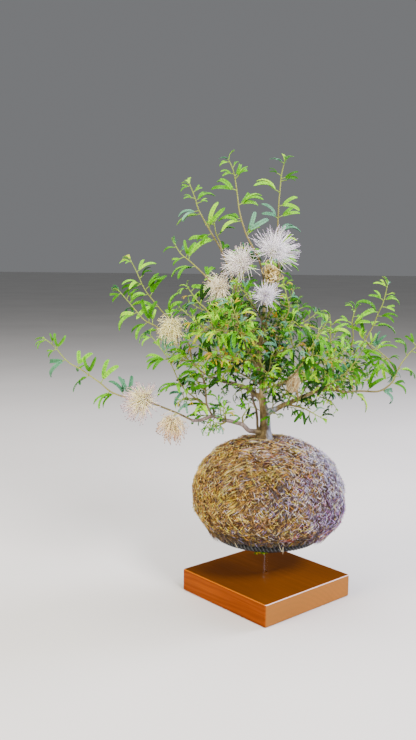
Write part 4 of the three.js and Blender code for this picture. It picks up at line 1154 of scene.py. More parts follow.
def bladesOf(site):
    lines = []
    for angle, share in ((-site["spread"], 1), (site["spread"], spread["secondDroop"])):
        heading = turned(site["along"], site["face"], angle)
        lines.append(bladeLine(site["apex"], heading, site["face"], site["length"], site["droop"] * share,
                               site["shape"]))
    return lines


def pathLength(points):
    return sum(math.sqrt((b - a) @ (b - a)) for a, b in zip(points, points[1:]))


def placeAlong(points, distance):
    rest = distance
    for i in range(len(points) - 1):
        step = points[i + 1] - points[i]
        length = math.sqrt(step @ step)
        if rest <= length or i + 2 == len(points):
            return points[i] + step * (rest / length), unit(step)
        rest -= length


# Leaves stand alternately to the two sides of a twig, lean towards its tip and are small near it.
def leafSite(twig, distance, order, shape, attempt):
    place, direction = placeAlong(twig, distance)
    headOn = direction[1] * direction[1]
    outward = acrossFrom(direction, front * (1 - headOn) + up * headOn)
    alternate = cross(direction, outward) * (1 if order % 2 else -1)
    sideTurn, faceTurn = spread["sideTurn"], spread["faceTurn"]
    side = turned(alternate, direction, between(-sideTurn, sideTurn) + attempt * spread["attemptTurn"])
    along = unit(side * spread["outward"] + direction * between(*spread["forward"]))
    level = acrossFrom(along, up + front * spread["faceFront"])
    face = turned(level, along, between(-faceTurn, faceTurn))
    growth = min(1, spread["firstGrowth"] + spread["growthStep"] * order)
    length = (spread["leafLength"] * growth * between(*spread["lengthSpread"])
              * (1 - spread["attemptShorter"] * attempt))
    stalk = spread["stalk"] * growth * between(*spread["stalkSpread"]) + spread["stalkLeast"]
    return {"foot": place, "apex": place + along * stalk, "along": along, "face": face, "length": length,
            "spread": between(*spread["bladeSpread"]), "droop": between(*spread["droopSpread"]), "shape": shape,
            "growth": growth}


def clearOfBall(point):
    flat = math.hypot(point[0], point[1]) / (ball["radius"] + spread["ballRoom"][0])
    tall = abs(point[2] - ball["centreZ"]) / (ball["halfHeight"] + spread["ballRoom"][1])
    return flat ** ball["exponent"] + tall ** ball["exponent"] > 1


def bladeRadii(count, size=1.0):
    middle = spread["leafWidth"] * spread["bladeShare"] * size
    return [spread["bladeEnd"] * size if i in (0, count - 1) else middle for i in range(count)]


def leafFits(owner, site, gap, size=1.0):
    blades = bladesOf(site)
    if not all(clearOfBall(p) for places in blades for p in places):
        return None
    for places in blades:
        if not keepsClear(owner, places, bladeRadii(len(places), size), spread["ownShare"], gap):
            return None
    stem = [site["foot"], site["apex"]]
    return blades if keepsClear(owner, stem, [spread["stalkRadius"] * size] * 2, 0, gap) else None


# The added leaves reach no further than the solids do.
def insideSolids(blades):
    points = np.concatenate(blades) / 1000
    low, high = np.array(cadBox[0]) + extra["inside"], np.array(cadBox[1]) - extra["inside"]
    return bool((points > low).all() and (points < high).all())


# A leaf where there is room for it, after a few attempts.
def growLeaf(owner, twig, distance, order, shape, attempts, gap, size=1.0, added=False):
    for attempt in range(attempts):
        site = leafSite(twig, distance, order, shape, attempt)
        site["length"] *= size
        blades = leafFits(owner, site, gap, size)
        if blades and (not added or insideSolids(blades)):
            for places in blades:
                addRods(owner, places, bladeRadii(len(places), size), "leaf")
            return site
    return None


def leavesOn(owner, twig, spacing, shape):
    sites = []
    total = pathLength(twig)
    order, back = 0, spread["firstBack"]
    while back < total - spread["bareBase"]:
        site = growLeaf(owner, twig, total - back, order, shape, spread["attempts"], spread["gap"])
        if site:
            addRods(owner, [site["foot"], site["apex"]], [spread["stalkRadius"]] * 2, "leaf")
            sites.append(site)
        order += 1
        back += spacing * between(*spread["spacingSpread"])
    return sites


def scatteredWays(axis, count, reach):
    side = acrossFrom(axis, up if abs(axis[2]) < 0.9 else front)
    other = cross(axis, side)
    ways = []
    for i in range(count):
        height = 1 - (1 - reach) * (i + 0.5) / count
        flat = math.sqrt(1 - height * height)
        angle = i * spread["stamenTurn"]
        ways.append(axis * height + side * (flat * math.cos(angle)) + other * (flat * math.sin(angle)))
    return ways


def twigRadii(path, order):
    return list(np.linspace(spread["twigRoot"] if order == 0 else spread["sideTwigRoot"],
                            spread["twigTip"], len(path)))


# A short shoot leaves the trunk, arches outwards and wavers a little from side to side.
def innerPath(start, azimuth, rise, length):
    level = flatWay(azimuth)
    side = cross(up, level)
    most, less = innerShoots["arch"]
    path = []
    for i, share in enumerate(innerShoots["shares"]):
        sway = innerShoots["sway"] * (1 if i % 2 else -1 if i else 0)
        path.append(start + level * (length * share * math.cos(rise))
                    + up * (length * share * (math.sin(rise) * (most - less * share))) + side * sway)
    return path


def growInnerShoots(twigs):
    trunk = pointsOf(limbs["trunk"]["points"])
    least, more, further = innerShoots["rise"]
    placed = 0
    for i in range(innerShoots["count"]):
        name = f"shoot_inner_{placed + 1}"
        share = i / (innerShoots["count"] - 1)
        startZ = (innerShoots["lowestZ"] + (innerShoots["highestZ"] - innerShoots["lowestZ"]) * share
                  * innerShoots["heightShare"])
        above = next(k for k, p in enumerate(trunk) if p[2] > startZ)
        low, high = trunk[above - 1], trunk[above]
        start = low + (high - low) * ((startZ - low[2]) / (high[2] - low[2]))
        length = (between(innerShoots["shortest"], innerShoots["longest"])
                  * (1 - innerShoots["upperShorter"] * share))
        for attempt in range(innerShoots["attempts"]):
            azimuth = math.radians(innerShoots["goldenAngle"] * i + innerShoots["turnStep"] * attempt)
            rise = math.radians(least + more * share + further * (attempt % 3))
            path = innerPath(start, azimuth, rise, length)
            if keepsClear(name, path, [innerShoots["clearRadius"]] * len(path), 0, innerShoots["clearGap"],
                          "limb"):
                twigs[name] = [path]
                addRods(name, path, twigRadii(path, 0), "twig")
                placed += 1
                break


def growPlant():
    for limb in limbs.values():
        addRods("woody_stems", pointsOf(limb["points"]), limbRadii(limb), "limb")
    twigs = {name: [pointsOf(rows) for rows in paths] for name, paths in shoots.items()}
    for name, paths in twigs.items():
        for order, path in enumerate(paths):
            addRods(name, path, twigRadii(path, order), "twig")
    for name, flower in [*flowers.items(), *driedFlowers.items()]:
        path = pointsOf(flower["stalk"])
        addRods(name, path, [spread["flowerStalk"]] * len(path), "twig")
        size = flower["radius"] * spread["coreShare"] if name in flowers else flower["radius"]
        addRods(name, [path[-1], path[-1] + up * 0.01], [size, size], "core")
    growInnerShoots(twigs)
    for name, flower in flowers.items():
        centre = np.array(flower["stalk"][-1], float)
        core = flower["radius"] * spread["coreShare"]
        for way in scatteredWays(unit(np.array(flower["faces"], float)), flower["stamens"], flower["reach"]):
            ends = [centre + way * core, centre + way * (flower["radius"] * between(*spread["stamenReach"]))]
            if keepsClear(name, ends, [spread["stamenRoot"], 0], 0, spread["clearGap"]):
                addRods(name, ends, [spread["stamenRoot"], 0], "stamen")
    sites = {}
    for name, paths in twigs.items():
        outline = name in outlineShoots
        spacing = spread["spacing"] if outline else spread["innerSpacing"]
        shape = bladeShapes["full" if outline else "plain"]
        sites[name] = [site for path in paths for site in leavesOn(name, path, spacing, shape)]
    return twigs, sites


shootTwigs, leafSites = growPlant()

# Some heads stay open to the front, so the leaves that are added keep out of a rod before each.
openFronts = {"dried_flower_2": 9, "flower_puff_4": 8, "flower_puff_5": 9, "flower_puff_1": 9}
openRod = {"from": 6, "to": 55, "rise": 8}
for name, size in openFronts.items():
    foot = np.array({**flowers, **driedFlowers}[name]["stalk"][-1], float)
    ends = [foot + front * openRod["from"], foot + front * openRod["to"] + up * openRod["rise"]]
    addRods("open_" + name, ends, [size, size], "core")
report(f"{len(shootTwigs)} shoots bear {sum(map(len, leafSites.values()))} leaves")


# Leaf blades: a midrib with pairs of leaflets, in a few arches. The tables say how tilt, size and lean change
# along the blade.
leaflets = {
    "pairs": 8, "fewPairs": 5, "fewWider": 1.1, "smallBelow": 0.7, "outerSmaller": 0.4, "length": 3.1,
    "width": 3.4, "tipShare": 0.86, "thickness": 0.42, "lean": 47, "fold": 14, "rootShare": 0.46,
    "cut": 0.8, "mostCut": 0.52, "firstAt": 0.05, "lastAt": 0.97, "midrib": (0.34, 0.272, 0.17), "steps": 24,
    "droops": (0.7, 1.0, 1.3), "sideBends": (-14, 14), "bendFrom": 0.35, "underBelow": -0.6,
    "tilts": ([0.1, 0.5, 0.95], [24, -9, -52]), "sizes": ([0, 0.2, 0.6, 0.86, 1], [0.66, 0.96, 1.0, 0.86, 0.7]),
    "leans": ([0, 0.8, 1], [1.1, 1.0, 0.45]),
}
# A triangle on a circle of radius 1 is this wide and this tall.
triangle = {"wide": 1.732, "tall": 1.5}


# The tone runs from deep green at 0 to young yellow green at 1, and on to dry gold at 2. Below 0 the pale
# blue green of the backs shows.
def leafMaterial():
    material, tree, shader = newMaterial("leaf green", {"Specular IOR Level": 0.08})
    tone = attribute(tree, "leafTone")
    place = objectPlace(tree)
    mottled = noiseOf(tree, place, 260, 3, 0.6)
    shade = maths(tree, "ADD", tone, valueRange(tree, mottled, 0.3, 0.7, -0.1, 0.1))
    face = ramp(tree, valueRange(tree, shade, -1.0, 2.0), [
        (0.0, "74a488"), (0.12, "508868"), (0.25, "26603a"), (0.333, "0c2003"), (0.42, "183c02"),
        (0.5, "2a6000"), (0.575, "4a9000"), (0.635, "7ac200"), (0.68, "a0d200"), (0.72, "b0a410"),
        (0.8, "b4941c"), (0.9, "9c7a1e"), (1.0, "66501c")])
    vein = mixed(tree, valueRange(tree, attribute(tree, "fromMidrib"), 0.0, 0.5, 0.45, 0.0), face, "0f3c02")
    pale = mixed(tree, valueRange(tree, tone, 1.05, 1.2, 0.75, 0.1), face, "42845a")
    linkLooks(tree, shader, mixed(tree, attribute(tree, "underside"), vein, pale),
              valueRange(tree, mottled, 0.3, 0.7, 0.4, 0.55))
    raised(tree, shader, noiseOf(tree, place, 1200, 2), 0.25, 0.0003)
    return material


def twigMaterial():
    material, tree, shader = newMaterial("young twig", {"Specular IOR Level": 0.35})
    streaks = noiseOf(tree, objectPlace(tree), 420, 3, 0.6)
    base = ramp(tree, attribute(tree, "twigAge"), [
        (0.0, "7ea226"), (0.3, "869232"), (0.6, "7e743c"), (1.0, "6c5c40")])
    linkLooks(tree, shader, mixed(tree, valueRange(tree, streaks, 0.45, 0.72, 0.0, 0.5), base, "54481e"),
              valueRange(tree, streaks, 0.3, 0.7, 0.5, 0.75))
    raised(tree, shader, streaks, 0.35, 0.0004)
    return material


leafGreen, youngTwig = leafMaterial(), twigMaterial()


# The blade's middle line in its own frame: X along it, Y to its left, Z up from its face.
def middleLine(droop, sideBend):
    steps = leaflets["steps"]
    points, headings = [np.zeros(3)], []
    for k in range(steps):
        share = (k + 0.5) / steps
        tilt = math.radians(np.interp(share, *leaflets["tilts"]) * droop)
        swing = math.radians(sideBend * (share - leaflets["bendFrom"]))
        heading = np.array([math.cos(tilt) * math.cos(swing), math.cos(tilt) * math.sin(swing), math.sin(tilt)])
        headings.append(heading)
        points.append(points[-1] + heading * (spread["leafLength"] / steps))
    return np.array(points), np.array(headings)


# Columns of a placing matrix, with the origin at the given point.
def framed(columns, origin):
    placing = Matrix.Identity(4)
    for k, column in enumerate(columns):
        for row in range(3):
            placing[row][k] = column[row]
    placing.translation = Vector(origin)
    return placing


def bladeTemplate(droop, sideBend, pairs):
    steps = leaflets["steps"]
    points, headings = middleLine(droop, sideBend)
    ribPath, ribSizes = closedEnds(points[::steps // 2], np.array(leaflets["midrib"]))
    bm = opened(strandMesh("midrib", [ribPath], [ribSizes]))
    outward = bm.verts.layers.float.new("fromMidrib")
    bm.faces.layers.float.new("leafTone")
    under = bm.faces.layers.float.new("underside")
    fold, lean = math.radians(leaflets["fold"]), math.radians(leaflets["lean"])
    for i in range(pairs):
        share = leaflets["firstAt"] + (leaflets["lastAt"] - leaflets["firstAt"]) * i / (pairs - 1)
        k = min(int(share * steps), steps - 1)
        heading = headings[k]
        base = points[k] + heading * (spread["leafLength"] / steps) * (share * steps - k)
        level = unit(np.array([-heading[2], 0, heading[0]]))
        beside = np.cross(level, heading)
        size = np.interp(share, *leaflets["sizes"])
        angle = lean * np.interp(share, *leaflets["leans"])
        length, width = leaflets["length"] * size, leaflets["width"] * size ** 0.5 * leaflets["pairs"] / pairs
        width *= 1 if pairs == leaflets["pairs"] else leaflets["fewWider"]
        # The leaflet's end is cut nearly along the blade, so that the blade's edge is finely toothed.
        cut = min(leaflets["mostCut"], leaflets["cut"] / math.tan(angle) * width / triangle["wide"] / length)
        for hand in (-1, 1):
            outwards = beside * hand * math.cos(fold) + level * math.sin(fold)
            normal = level * math.cos(fold) - beside * hand * math.sin(fold)
            way = heading * math.cos(angle) + outwards * math.sin(angle)
            made = bmesh.ops.create_cone(bm, segments=3, radius1=1, radius2=leaflets["tipShare"], depth=1,
                                         cap_ends=True)["verts"]
            for vert in made:
                vert[outward] = vert.co.z + 0.5
                if vert.co.z > 0:
                    vert.co.z -= vert.co.x * (hand * cut)
            columns = (np.cross(normal, way) * (width / triangle["wide"]),
                       normal * (leaflets["thickness"] / triangle["tall"]), way * length)
            placing = framed(columns, base + way * (length * leaflets["rootShare"]))
            bmesh.ops.transform(bm, verts=made, matrix=placing)
            for face in {f for vert in made for f in vert.link_faces}:
                face.normal_update()
                face[under] = 1.0 if face.normal.dot(Vector(normal)) < leaflets["underBelow"] else 0.0
    bmesh.ops.recalc_face_normals(bm, faces=bm.faces)
    return meshOf(bm, "blade", smooth=False)


bladeTemplates = {
    pairs: [[bladeTemplate(droop, bend, pairs) for bend in leaflets["sideBends"]]
            for droop in leaflets["droops"]]
    for pairs in (leaflets["pairs"], leaflets["fewPairs"])}
report(f"a leaf blade has {len(bladeTemplates[leaflets['pairs']][0][0].polygons)} faces")


# Tones are a middle and a spread. Inner leaves are darker and the heart of the plant darker still, both painted
# shade, and dry leaves gather in one place.
leafTones = {
    "outer": (0.76, 0.12), "inner": (0.54, 0.3), "heartDarker": 0.32, "young": 0.48, "youngBelow": 0.75,
    "paleShare": 0.12, "pale": (-0.85, -0.35), "greens": (0.12, 1), "dryMore": 12.0, "dry": (1.12, 1.8),
    "dryFrom": 1.05, "drySize": 0.66, "bladeSpread": 0.07, "lowestGreen": 0.02, "sizeSpread": (0.92, 1.05),
    "ownBend": 0.7,
    "heartAt": {"place": np.array([-12.0, 5.0, 262.0]), "reach": np.array([62.0, 55.0, 52.0])},
    "dryAt": {"place": np.array([-58.0, -22.0, 271.0]), "reach": np.array([30.0, 45.0, 20.0])},
}


def addBlade(bm, template, apex, heading, face, scale, tone):
    columns = [column * scale for column in (heading, np.cross(face, heading), face)]
    copy = template.copy()
    copy.transform(framed(columns, apex))
    copy.attributes["leafTone"].data.foreach_set("value", np.full(len(copy.polygons), tone, np.float32))
    bm.from_mesh(copy)
    bpy.data.meshes.remove(copy)


def addLeaf(bm, site, tone, random):
    scale = site["length"] / spread["leafLength"]
    if tone > leafTones["dryFrom"]:
        scale *= leafTones["drySize"]
    small = scale < leaflets["smallBelow"] * (1 if site.get("inner") else leaflets["outerSmaller"])
    templates = bladeTemplates[leaflets["fewPairs" if small else "pairs"]]
    for bend, (angle, share) in enumerate(((-site["spread"], 1.0), (site["spread"], spread["secondDroop"]))):
        heading = turned(site["along"], site["face"], angle)
        which = int(np.argmin([abs(d - site["droop"] * share) for d in leaflets["droops"]]))
        template = templates[which][bend if random.uniform() < leafTones["ownBend"] else 1 - bend]
        own = tone + random.normal(0, leafTones["bladeSpread"])
        addBlade(bm, template, site["apex"], heading, site["face"],
                 scale * random.uniform(*leafTones["sizeSpread"]),
                 max(leafTones["lowestGreen"], own) if tone > 0 else own)


def nearness(place, spot):
    return float(np.exp(-(((place - spot["place"]) / spot["reach"]) ** 2).sum()))


# Leaves near the middle of the plant are painted deeper green, a painted shade, some show a pale back, and some
# of the small ones are dry, most of them in one place on the left.
def toneOf(site, random):
    tone = random.normal(*leafTones["inner" if site.get("inner") else "outer"])
    tone += max(0, leafTones["youngBelow"] - site["growth"]) * leafTones["young"]
    tone -= leafTones["heartDarker"] * nearness(site["apex"], leafTones["heartAt"])
    dry = site.get("dryness", 0.0) * (1 + leafTones["dryMore"] * nearness(site["apex"], leafTones["dryAt"]))
    draw = random.uniform()
    if draw < dry:
        return random.uniform(*leafTones["dry"])
    if draw > 1 - leafTones["paleShare"]:
        return random.uniform(*leafTones["pale"])
    return float(np.clip(tone, *leafTones["greens"]))


# How twigs and leaf stalks look: steps along a twig, radii as shares of the solids', and ages, where 1 is old.
twigLooks = {"step": 4.0, "slimmer": 0.76, "oldest": 0.95, "youngest": 0.1, "sideTwig": 0.75, "stalkAge": 0.05,
             "stalkBow": 0.4, "stalkOver": 1.2, "stalkRadii": (0.62, 0.42, 0.45, 0.3), "stalkLeast": 0.75}


def shootMesh(name, paths, sizes, sites, random):
    strands, ages = [], []
    oldest, youngest = twigLooks["oldest"], twigLooks["youngest"]
    for order, (path, given) in enumerate(zip(paths, sizes)):
        smooth, eased = smoothed(path, given, twigLooks["step"])
        strands.append(closedEnds(smooth, eased * twigLooks["slimmer"]))
        along = np.concatenate([[oldest], np.linspace(oldest, youngest, len(smooth)), [youngest]])
        ages.append(along * (1 if order == 0 else twigLooks["sideTwig"]))
    for site in sites:
        middle = (site["foot"] + site["apex"]) / 2 + site["face"] * twigLooks["stalkBow"]
        over = site["apex"] + site["along"] * twigLooks["stalkOver"]
        grown = twigLooks["stalkLeast"] + (1 - twigLooks["stalkLeast"]) * site["growth"]
        strands.append(closedEnds(np.array([site["foot"], middle, site["apex"], over]),
                                  np.array(twigLooks["stalkRadii"]) * grown))
        ages.append(twigLooks["stalkAge"])
    bm = opened(strandMesh(name, *zip(*strands), sides=5, values={"twigAge": ages}))
    for face in bm.faces:
        face.material_index = 1
        face.smooth = True
    for site in sites:
        addLeaf(bm, site, toneOf(site, random), random)
    return meshOf(bm, name)


# More leaves stand between the ones that the solids have, wherever there is room on the twig.
extra = {"spacing": 6.4, "innerSpacing": 4.2, "spacingSpread": (0.8, 1.2), "firstBack": 3.5, "bareBase": 3,
         "share": 0.88, "outerShare": 0.27, "tipShare": 0.75, "tipReach": 24, "tipSize": 0.62, "gap": 0.1,
         "attempts": 4, "outer": (0.62, 0.95), "inner": (0.32, 0.62), "dryness": 0.07, "outerDryness": 0.02,
         "inside": 0.002,
         "buds": 3, "budLength": (4.0, 7.5), "tipBudLength": (6.0, 10.5), "budForward": (0.6, 1.4),
         "budStep": 0.6, "budStalk": 0.9, "budUp": 0.2, "budSpread": (6, 14), "budDroop": 0.7, "budGrowth": 0.3}


def moreLeaves(owner, path, inner, random, attempts=extra["attempts"]):
    found = []
    spacing = extra["innerSpacing" if inner else "spacing"]
    smallest, largest = extra["inner" if inner else "outer"]
    total, back, order = pathLength(path), extra["firstBack"], 0
    while back < total - extra["bareBase"]:
        nearTip = not inner and back < extra["tipReach"]
        share = extra["share" if inner else "tipShare" if nearTip else "outerShare"]
        if random.uniform() < share:
            size = random.uniform(smallest, largest) * (extra["tipSize"] if nearTip else 1)
            site = growLeaf(owner, path, total - back, order, bladeShapes["full"], attempts, extra["gap"], size,
                            added=True)
            if site:
                site["dryness"] = extra["dryness" if inner else "outerDryness"]
                site["inner"] = inner
                found.append(site)
        order += 1
        back += spacing * random.uniform(*extra["spacingSpread"])
    return found


# Folded young leaves at the tip of a twig.
def tipBuds(path, random, lengths="budLength"):
    tip, direction = path[-1], unit(path[-1] - path[-2])
    found = []
    for k in range(extra["buds"]):
        level = acrossFrom(direction, random.normal(0, 1, 3))
        along = unit(direction * random.uniform(*extra["budForward"]) + level)
        found.append({
            "foot": tip - direction * (extra["budStep"] * k), "apex": tip + along * extra["budStalk"],
            "along": along, "face": acrossFrom(along, direction + up * extra["budUp"]),
            "length": random.uniform(*extra[lengths]), "spread": random.uniform(*extra["budSpread"]),
            "droop": extra["budDroop"], "growth": extra["budGrowth"]})
    return found


def makeShoots():
    random = np.random.default_rng(77)
    leafCount = 0
    for name, paths in shootTwigs.items():
        sites = list(leafSites[name])
        inner = name not in outlineShoots
        for site in sites:
            site["inner"] = inner
        for path in paths:
            sites += moreLeaves(name, path, inner, random)
            sites += tipBuds(path, random, "budLength" if inner else "tipBudLength")
        sizes = [twigRadii(path, order) for order, path in enumerate(paths)]
        mesh = shootMesh(name, paths, sizes, sites, random)
        finishPiece(name.replace("shoot_", "spray_"), mesh, [leafGreen, youngTwig], [name])
        leafCount += len(sites)
    report(f"{leafCount} leaves on the shoots")


makeShoots()


# Short leafy spurs that fill the middle of the plant.
spurs = {"count": 215, "tries": 14, "leafTries": 6, "shortest": 12, "longest": 32, "root": 0.85, "tip": 0.42,
         "pieces": 3, "x": (-95, 84), "z": (196, 322), "lowestTip": 200, "limbTip": (-48, 186), "tipRoom": 11,
         "lowLimbMore": 4.0, "hostPart": (0.04, 0.75), "fromAxis": 0.02, "forward": (0.2, 0.9), "rise": 0.15,
         "shares": (0.3, 0.36, 0.34), "sway": 0.22, "lift": 0.28, "liftLess": 0.16, "radius": 0.5, "gap": 0.1,
         "buds": 2}


def spurHosts():
    hosts = [np.array(limb["points"], float) for limb in limbs.values()]
    hosts += [path for paths in shootTwigs.values() for path in paths]
    return hosts


def growSpur(start, direction, length):
    side = acrossFrom(direction, up)
    path = [start]
    for k, share in enumerate(spurs["shares"]):
        sway = spurs["sway"] if k % 2 else -spurs["sway"]
        bend = side * sway + up * (spurs["lift"] - spurs["liftLess"] * k)
        path.append(path[-1] + unit(direction + bend) * (length * share))
    return path


def makeSpurs():
    random = np.random.default_rng(408)
    hosts = spurHosts()
    lengths = np.array([pathLength(host) for host in hosts])
    lengths[list(limbs).index("lowerLeft")] *= spurs["lowLimbMore"]
    groups = [([], [], []) for _ in range(spurs["pieces"])]
    made = 0
    for _ in range(spurs["count"] * spurs["tries"]):
        if made == spurs["count"]:
            break
        host = hosts[random.choice(len(hosts), p=lengths / lengths.sum())]
        place, along = placeAlong(host, pathLength(host) * random.uniform(*spurs["hostPart"]))
        if not (spurs["x"][0] < place[0] < spurs["x"][1] and spurs["z"][0] < place[2] < spurs["z"][1]):
            continue
        fromAxis = np.array([place[0], place[1], 0]) * spurs["fromAxis"]
        outwards = acrossFrom(along, random.normal(0, 1, 3) + fromAxis)
        direction = unit(outwards + along * random.uniform(*spurs["forward"]) + up * spurs["rise"])
        path = growSpur(place, direction, random.uniform(spurs["shortest"], spurs["longest"]))
        lowest = spurs["limbTip"][1] if path[-1][0] < spurs["limbTip"][0] else spurs["lowestTip"]
        if not all(clearOfBall(p) for p in path) or path[-1][2] < lowest:
            continue
        if not insideSolids([path[-1:] + direction * spurs["tipRoom"]]):
            continue
        name = f"spur_{made}"
        if not keepsClear(name, path[1:], [spurs["radius"]] * 3, 0, spurs["gap"]):
            continue
        addRods(name, path, [spurs["radius"]] * 4, "twig")
        sites = moreLeaves(name, path, True, random, spurs["leafTries"]) + tipBuds(path, random)[:spurs["buds"]]
        paths, sizes, leaves = groups[made % spurs["pieces"]]
        paths.append(path)
        sizes.append(list(np.linspace(spurs["root"], spurs["tip"], 4)))
        leaves += sites
        made += 1
    for k, (paths, sizes, leaves) in enumerate(groups):
        mesh = shootMesh(f"spurs_{k}", paths, sizes, leaves, random)
        finishPiece(f"leafy_spurs_{k + 1}", mesh, [leafGreen, youngTwig])
    report(f"{made} spurs bear {sum(len(g[2]) for g in groups)} leaves")


makeSpurs()


# The powder-puff flowers.
puff = {"stamens": 500, "aim": 0.17, "thickness": 0.19, "along": (0.04, 0.5, 0.95, 1.0),
        "radii": (1.3, 1.05, 0.8, 1.9), "outward": (0.04, 0.05, 0.5, 0.92, 1.0, 1.0), "bowTurn": 0.8,
        "sagSpread": (0.5, 1.6), "sagShorter": 0.3, "backMost": -0.9, "backFurther": 0.1,
        "longShare": 0.2, "swept": 0.9, "long": (0.78, 1.1), "short": (0.24, 0.54), "sweptLonger": 0.07,
        "heart": 0.2, "florets": 12, "floretReach": -0.1, "floretLength": 2.6, "floretAt": 2.2,
        "floretRadii": (0.5, 0.85), "stalkRadii": (0.95, 1.0, 1.15), "stalkStep": 3.0, "stalkAge": 0.1}

# Which way each flower leans, how dense it is, how much its stamens curl and sag with age, and its colours
# from root to tip.
puffLooks = {
    "flower_puff_1": {"leans": (0.6, -0.2, 0.5), "density": 1.3, "curl": 0.13, "sag": 0.02,
                      "root": "ffffff", "tip": "f2eafa", "end": "94709e"},
    "flower_puff_2": {"leans": (-0.5, -0.2, 0.6), "density": 1.25, "curl": 0.24, "sag": 0.12,
                      "root": "fffdf2", "tip": "f4ecea", "end": "a8788c"},
    "flower_puff_3": {"leans": (-0.8, -0.2, -0.2), "density": 1.05, "curl": 0.27, "sag": 0.14,
                      "root": "fcf6d6", "tip": "f0e2bc", "end": "b08458"},
    "flower_puff_4": {"leans": (0.4, -0.3, 0.7), "density": 1.2, "curl": 0.1, "sag": 0.03,
                      "root": "ffffff", "tip": "f8f4ff", "end": "b49fcc"},
    "flower_puff_5": {"leans": (0.0, -0.5, -0.6), "density": 1.25, "curl": 0.33, "sag": 0.3,
                      "root": "fffcb8", "tip": "f6f09c", "end": "c8a050"},
    "flower_puff_6": {"leans": (-0.6, -0.2, 0.1), "density": 0.72, "curl": 0.12, "sag": 0.1,
                      "root": "f8f0b4", "tip": "e0bcc8", "end": "4a1830", "thicker": 1.6, "longShare": 0.5},
    "flower_puff_7": {"leans": (0.1, -0.2, -0.8), "density": 0.62, "curl": 0.26, "sag": 0.42,
                      "root": "f4e4a4", "tip": "dcb490", "end": "6a3428", "thicker": 1.55, "longShare": 0.5},
}


def stamenMaterial(name, look):
    material, tree, shader = newMaterial(name, {
        "Roughness": 0.5, "Specular IOR Level": 0.3, "Sheen Weight": 0.5, "Sheen Roughness": 0.4})
    specks = noiseOf(tree, objectPlace(tree), 420, 3, 0.6)
    base = ramp(tree, attribute(tree, "outward"), [
        (0.0, "eeeed4"), (0.14, look["root"]), (0.6, look["root"]), (0.9, look["tip"]), (1.0, look["end"])])
    linkLooks(tree, shader, mixed(tree, valueRange(tree, specks, 0.5, 0.75, 0.0, 0.18), base, "cdb49a"))
    return material


def stamenLine(centre, way, length, look, random):
    aside = acrossFrom(way, random.normal(0, 1, 3))
    shares = np.array(puff["along"])
    bow = np.sin(shares * math.pi * puff["bowTurn"])[:, None] * aside
    bow = bow * (length * random.normal(0, look["curl"]))
    sag = -up * (shares[:, None] ** 2) * (length * look["sag"] * random.uniform(*puff["sagSpread"]))
    straight = length * (1 - puff["sagShorter"] * look["sag"])
    path = centre + way * (shares * straight)[:, None] + bow + sag
    return closedEnds(path, puff["thickness"] * look.get("thicker", 1) * np.array(puff["radii"]))


# A flower stalk from its twig to its head.
def stalkStrand(stalk, radii):
    return closedEnds(*smoothed(stalk, radii, puff["stalkStep"]))


def makePuffs():
    random = np.random.default_rng(91)
    for name, flower in flowers.items():
        look = puffLooks[name]
        stalk = pointsOf(flower["stalk"])
        centre, radius = stalk[-1], flower["radius"]
        axis, lean = unit(np.array(flower["faces"], float)), unit(np.array(look["leans"]))
        strands = []
        back = max(puff["backMost"], flower["reach"] - puff["backFurther"])
        for way in scatteredWays(axis, int(puff["stamens"] * look["density"]), back):
            way = unit(way + random.normal(0, puff["aim"], 3))
            # A few reach their full length, most of them where the head leans to; the rest are shorter and
            # make it dense.
            swept = 1 + puff["swept"] * float(way @ lean)
            long = random.uniform() < look.get("longShare", puff["longShare"]) * swept
            share = (random.uniform(*puff["long"]) if long
                     else random.uniform(*puff["short"]) + puff["sweptLonger"] * swept)
            strands.append(stamenLine(centre, way, radius * share, look, random))
        outward = [np.array(puff["outward"])] * len(strands)
        bm = opened(strandMesh(name, *zip(*strands), values={"outward": outward}))
        bmesh.ops.create_icosphere(bm, subdivisions=2, radius=radius * puff["heart"],
                                   matrix=Matrix.Translation(centre))
        for way in scatteredWays(axis, puff["florets"], puff["floretReach"]):
            facing = Vector(way).to_track_quat("Z", "Y").to_matrix().to_4x4()
            root, tip = puff["floretRadii"]
            bmesh.ops.create_cone(bm, segments=6, radius1=root, radius2=tip, depth=puff["floretLength"],
                                  cap_ends=True,
                                  matrix=Matrix.Translation(centre + way * puff["floretAt"]) @ facing)
        pieceName = name.replace("flower_", "")
        finishPiece(pieceName, meshOf(bm, name, smooth=True), [stamenMaterial(name + " filament", look)],
                    [name])
        path, size = stalkStrand(stalk, puff["stalkRadii"])
        mesh = strandMesh("stalk", [path], [size], sides=6, values={"twigAge": [puff["stalkAge"]]})
        finishPiece(pieceName + "_stalk", mesh, [youngTwig])


makePuffs()


# Spent flower heads: one a loose tangle of curled stamens, one a shrivelled egg shape.
dried = {"axis": (0.25, -0.2, 1.0), "width": 0.4, "widthSpread": (0.6, 1.4), "points": 6,
         "swell": (0.6, 1.0, 1.25, 1.25, 0.9, 0.5), "stalkRadii": (0.95, 1.0, 1.1), "stalkTone": 0.2,
         "tangle": 150, "clump": (0.72, 0.8, 1.2), "clumpReach": (0.15, 0.8), "hang": 0.5,
         "curl": (1.6, 4.2), "sweep": (2.0, 4.4),
         "wrapped": 96, "twist": 34, "wrapSwell": (0.88, 1.06), "wrapFrom": 0.03, "wrapLeast": 0.4,
         "wrapTurn": 0.95, "tall": 1.1, "wide": 0.76, "crinkle": 0.035,
         "tuft": 26, "tuftAim": 0.45, "tuftLength": (0.35, 0.8), "tuftFrom": 0.85, "tuftCurl": 0.7,
         "eggPoints": 12, "eggWide": 0.7, "eggTall": 1.02, "eggPower": 0.8, "eggTone": 0.35}
driedLooks = {
    "dried_flower_1": {"tangled": True, "colours": ["5a4824", "ac944c", "dcc684", "f8f0cc"]},
    "dried_flower_2": {"tangled": False, "colours": ["9a7850", "ccaa74", "e6d09c", "f8eecc"]},
}


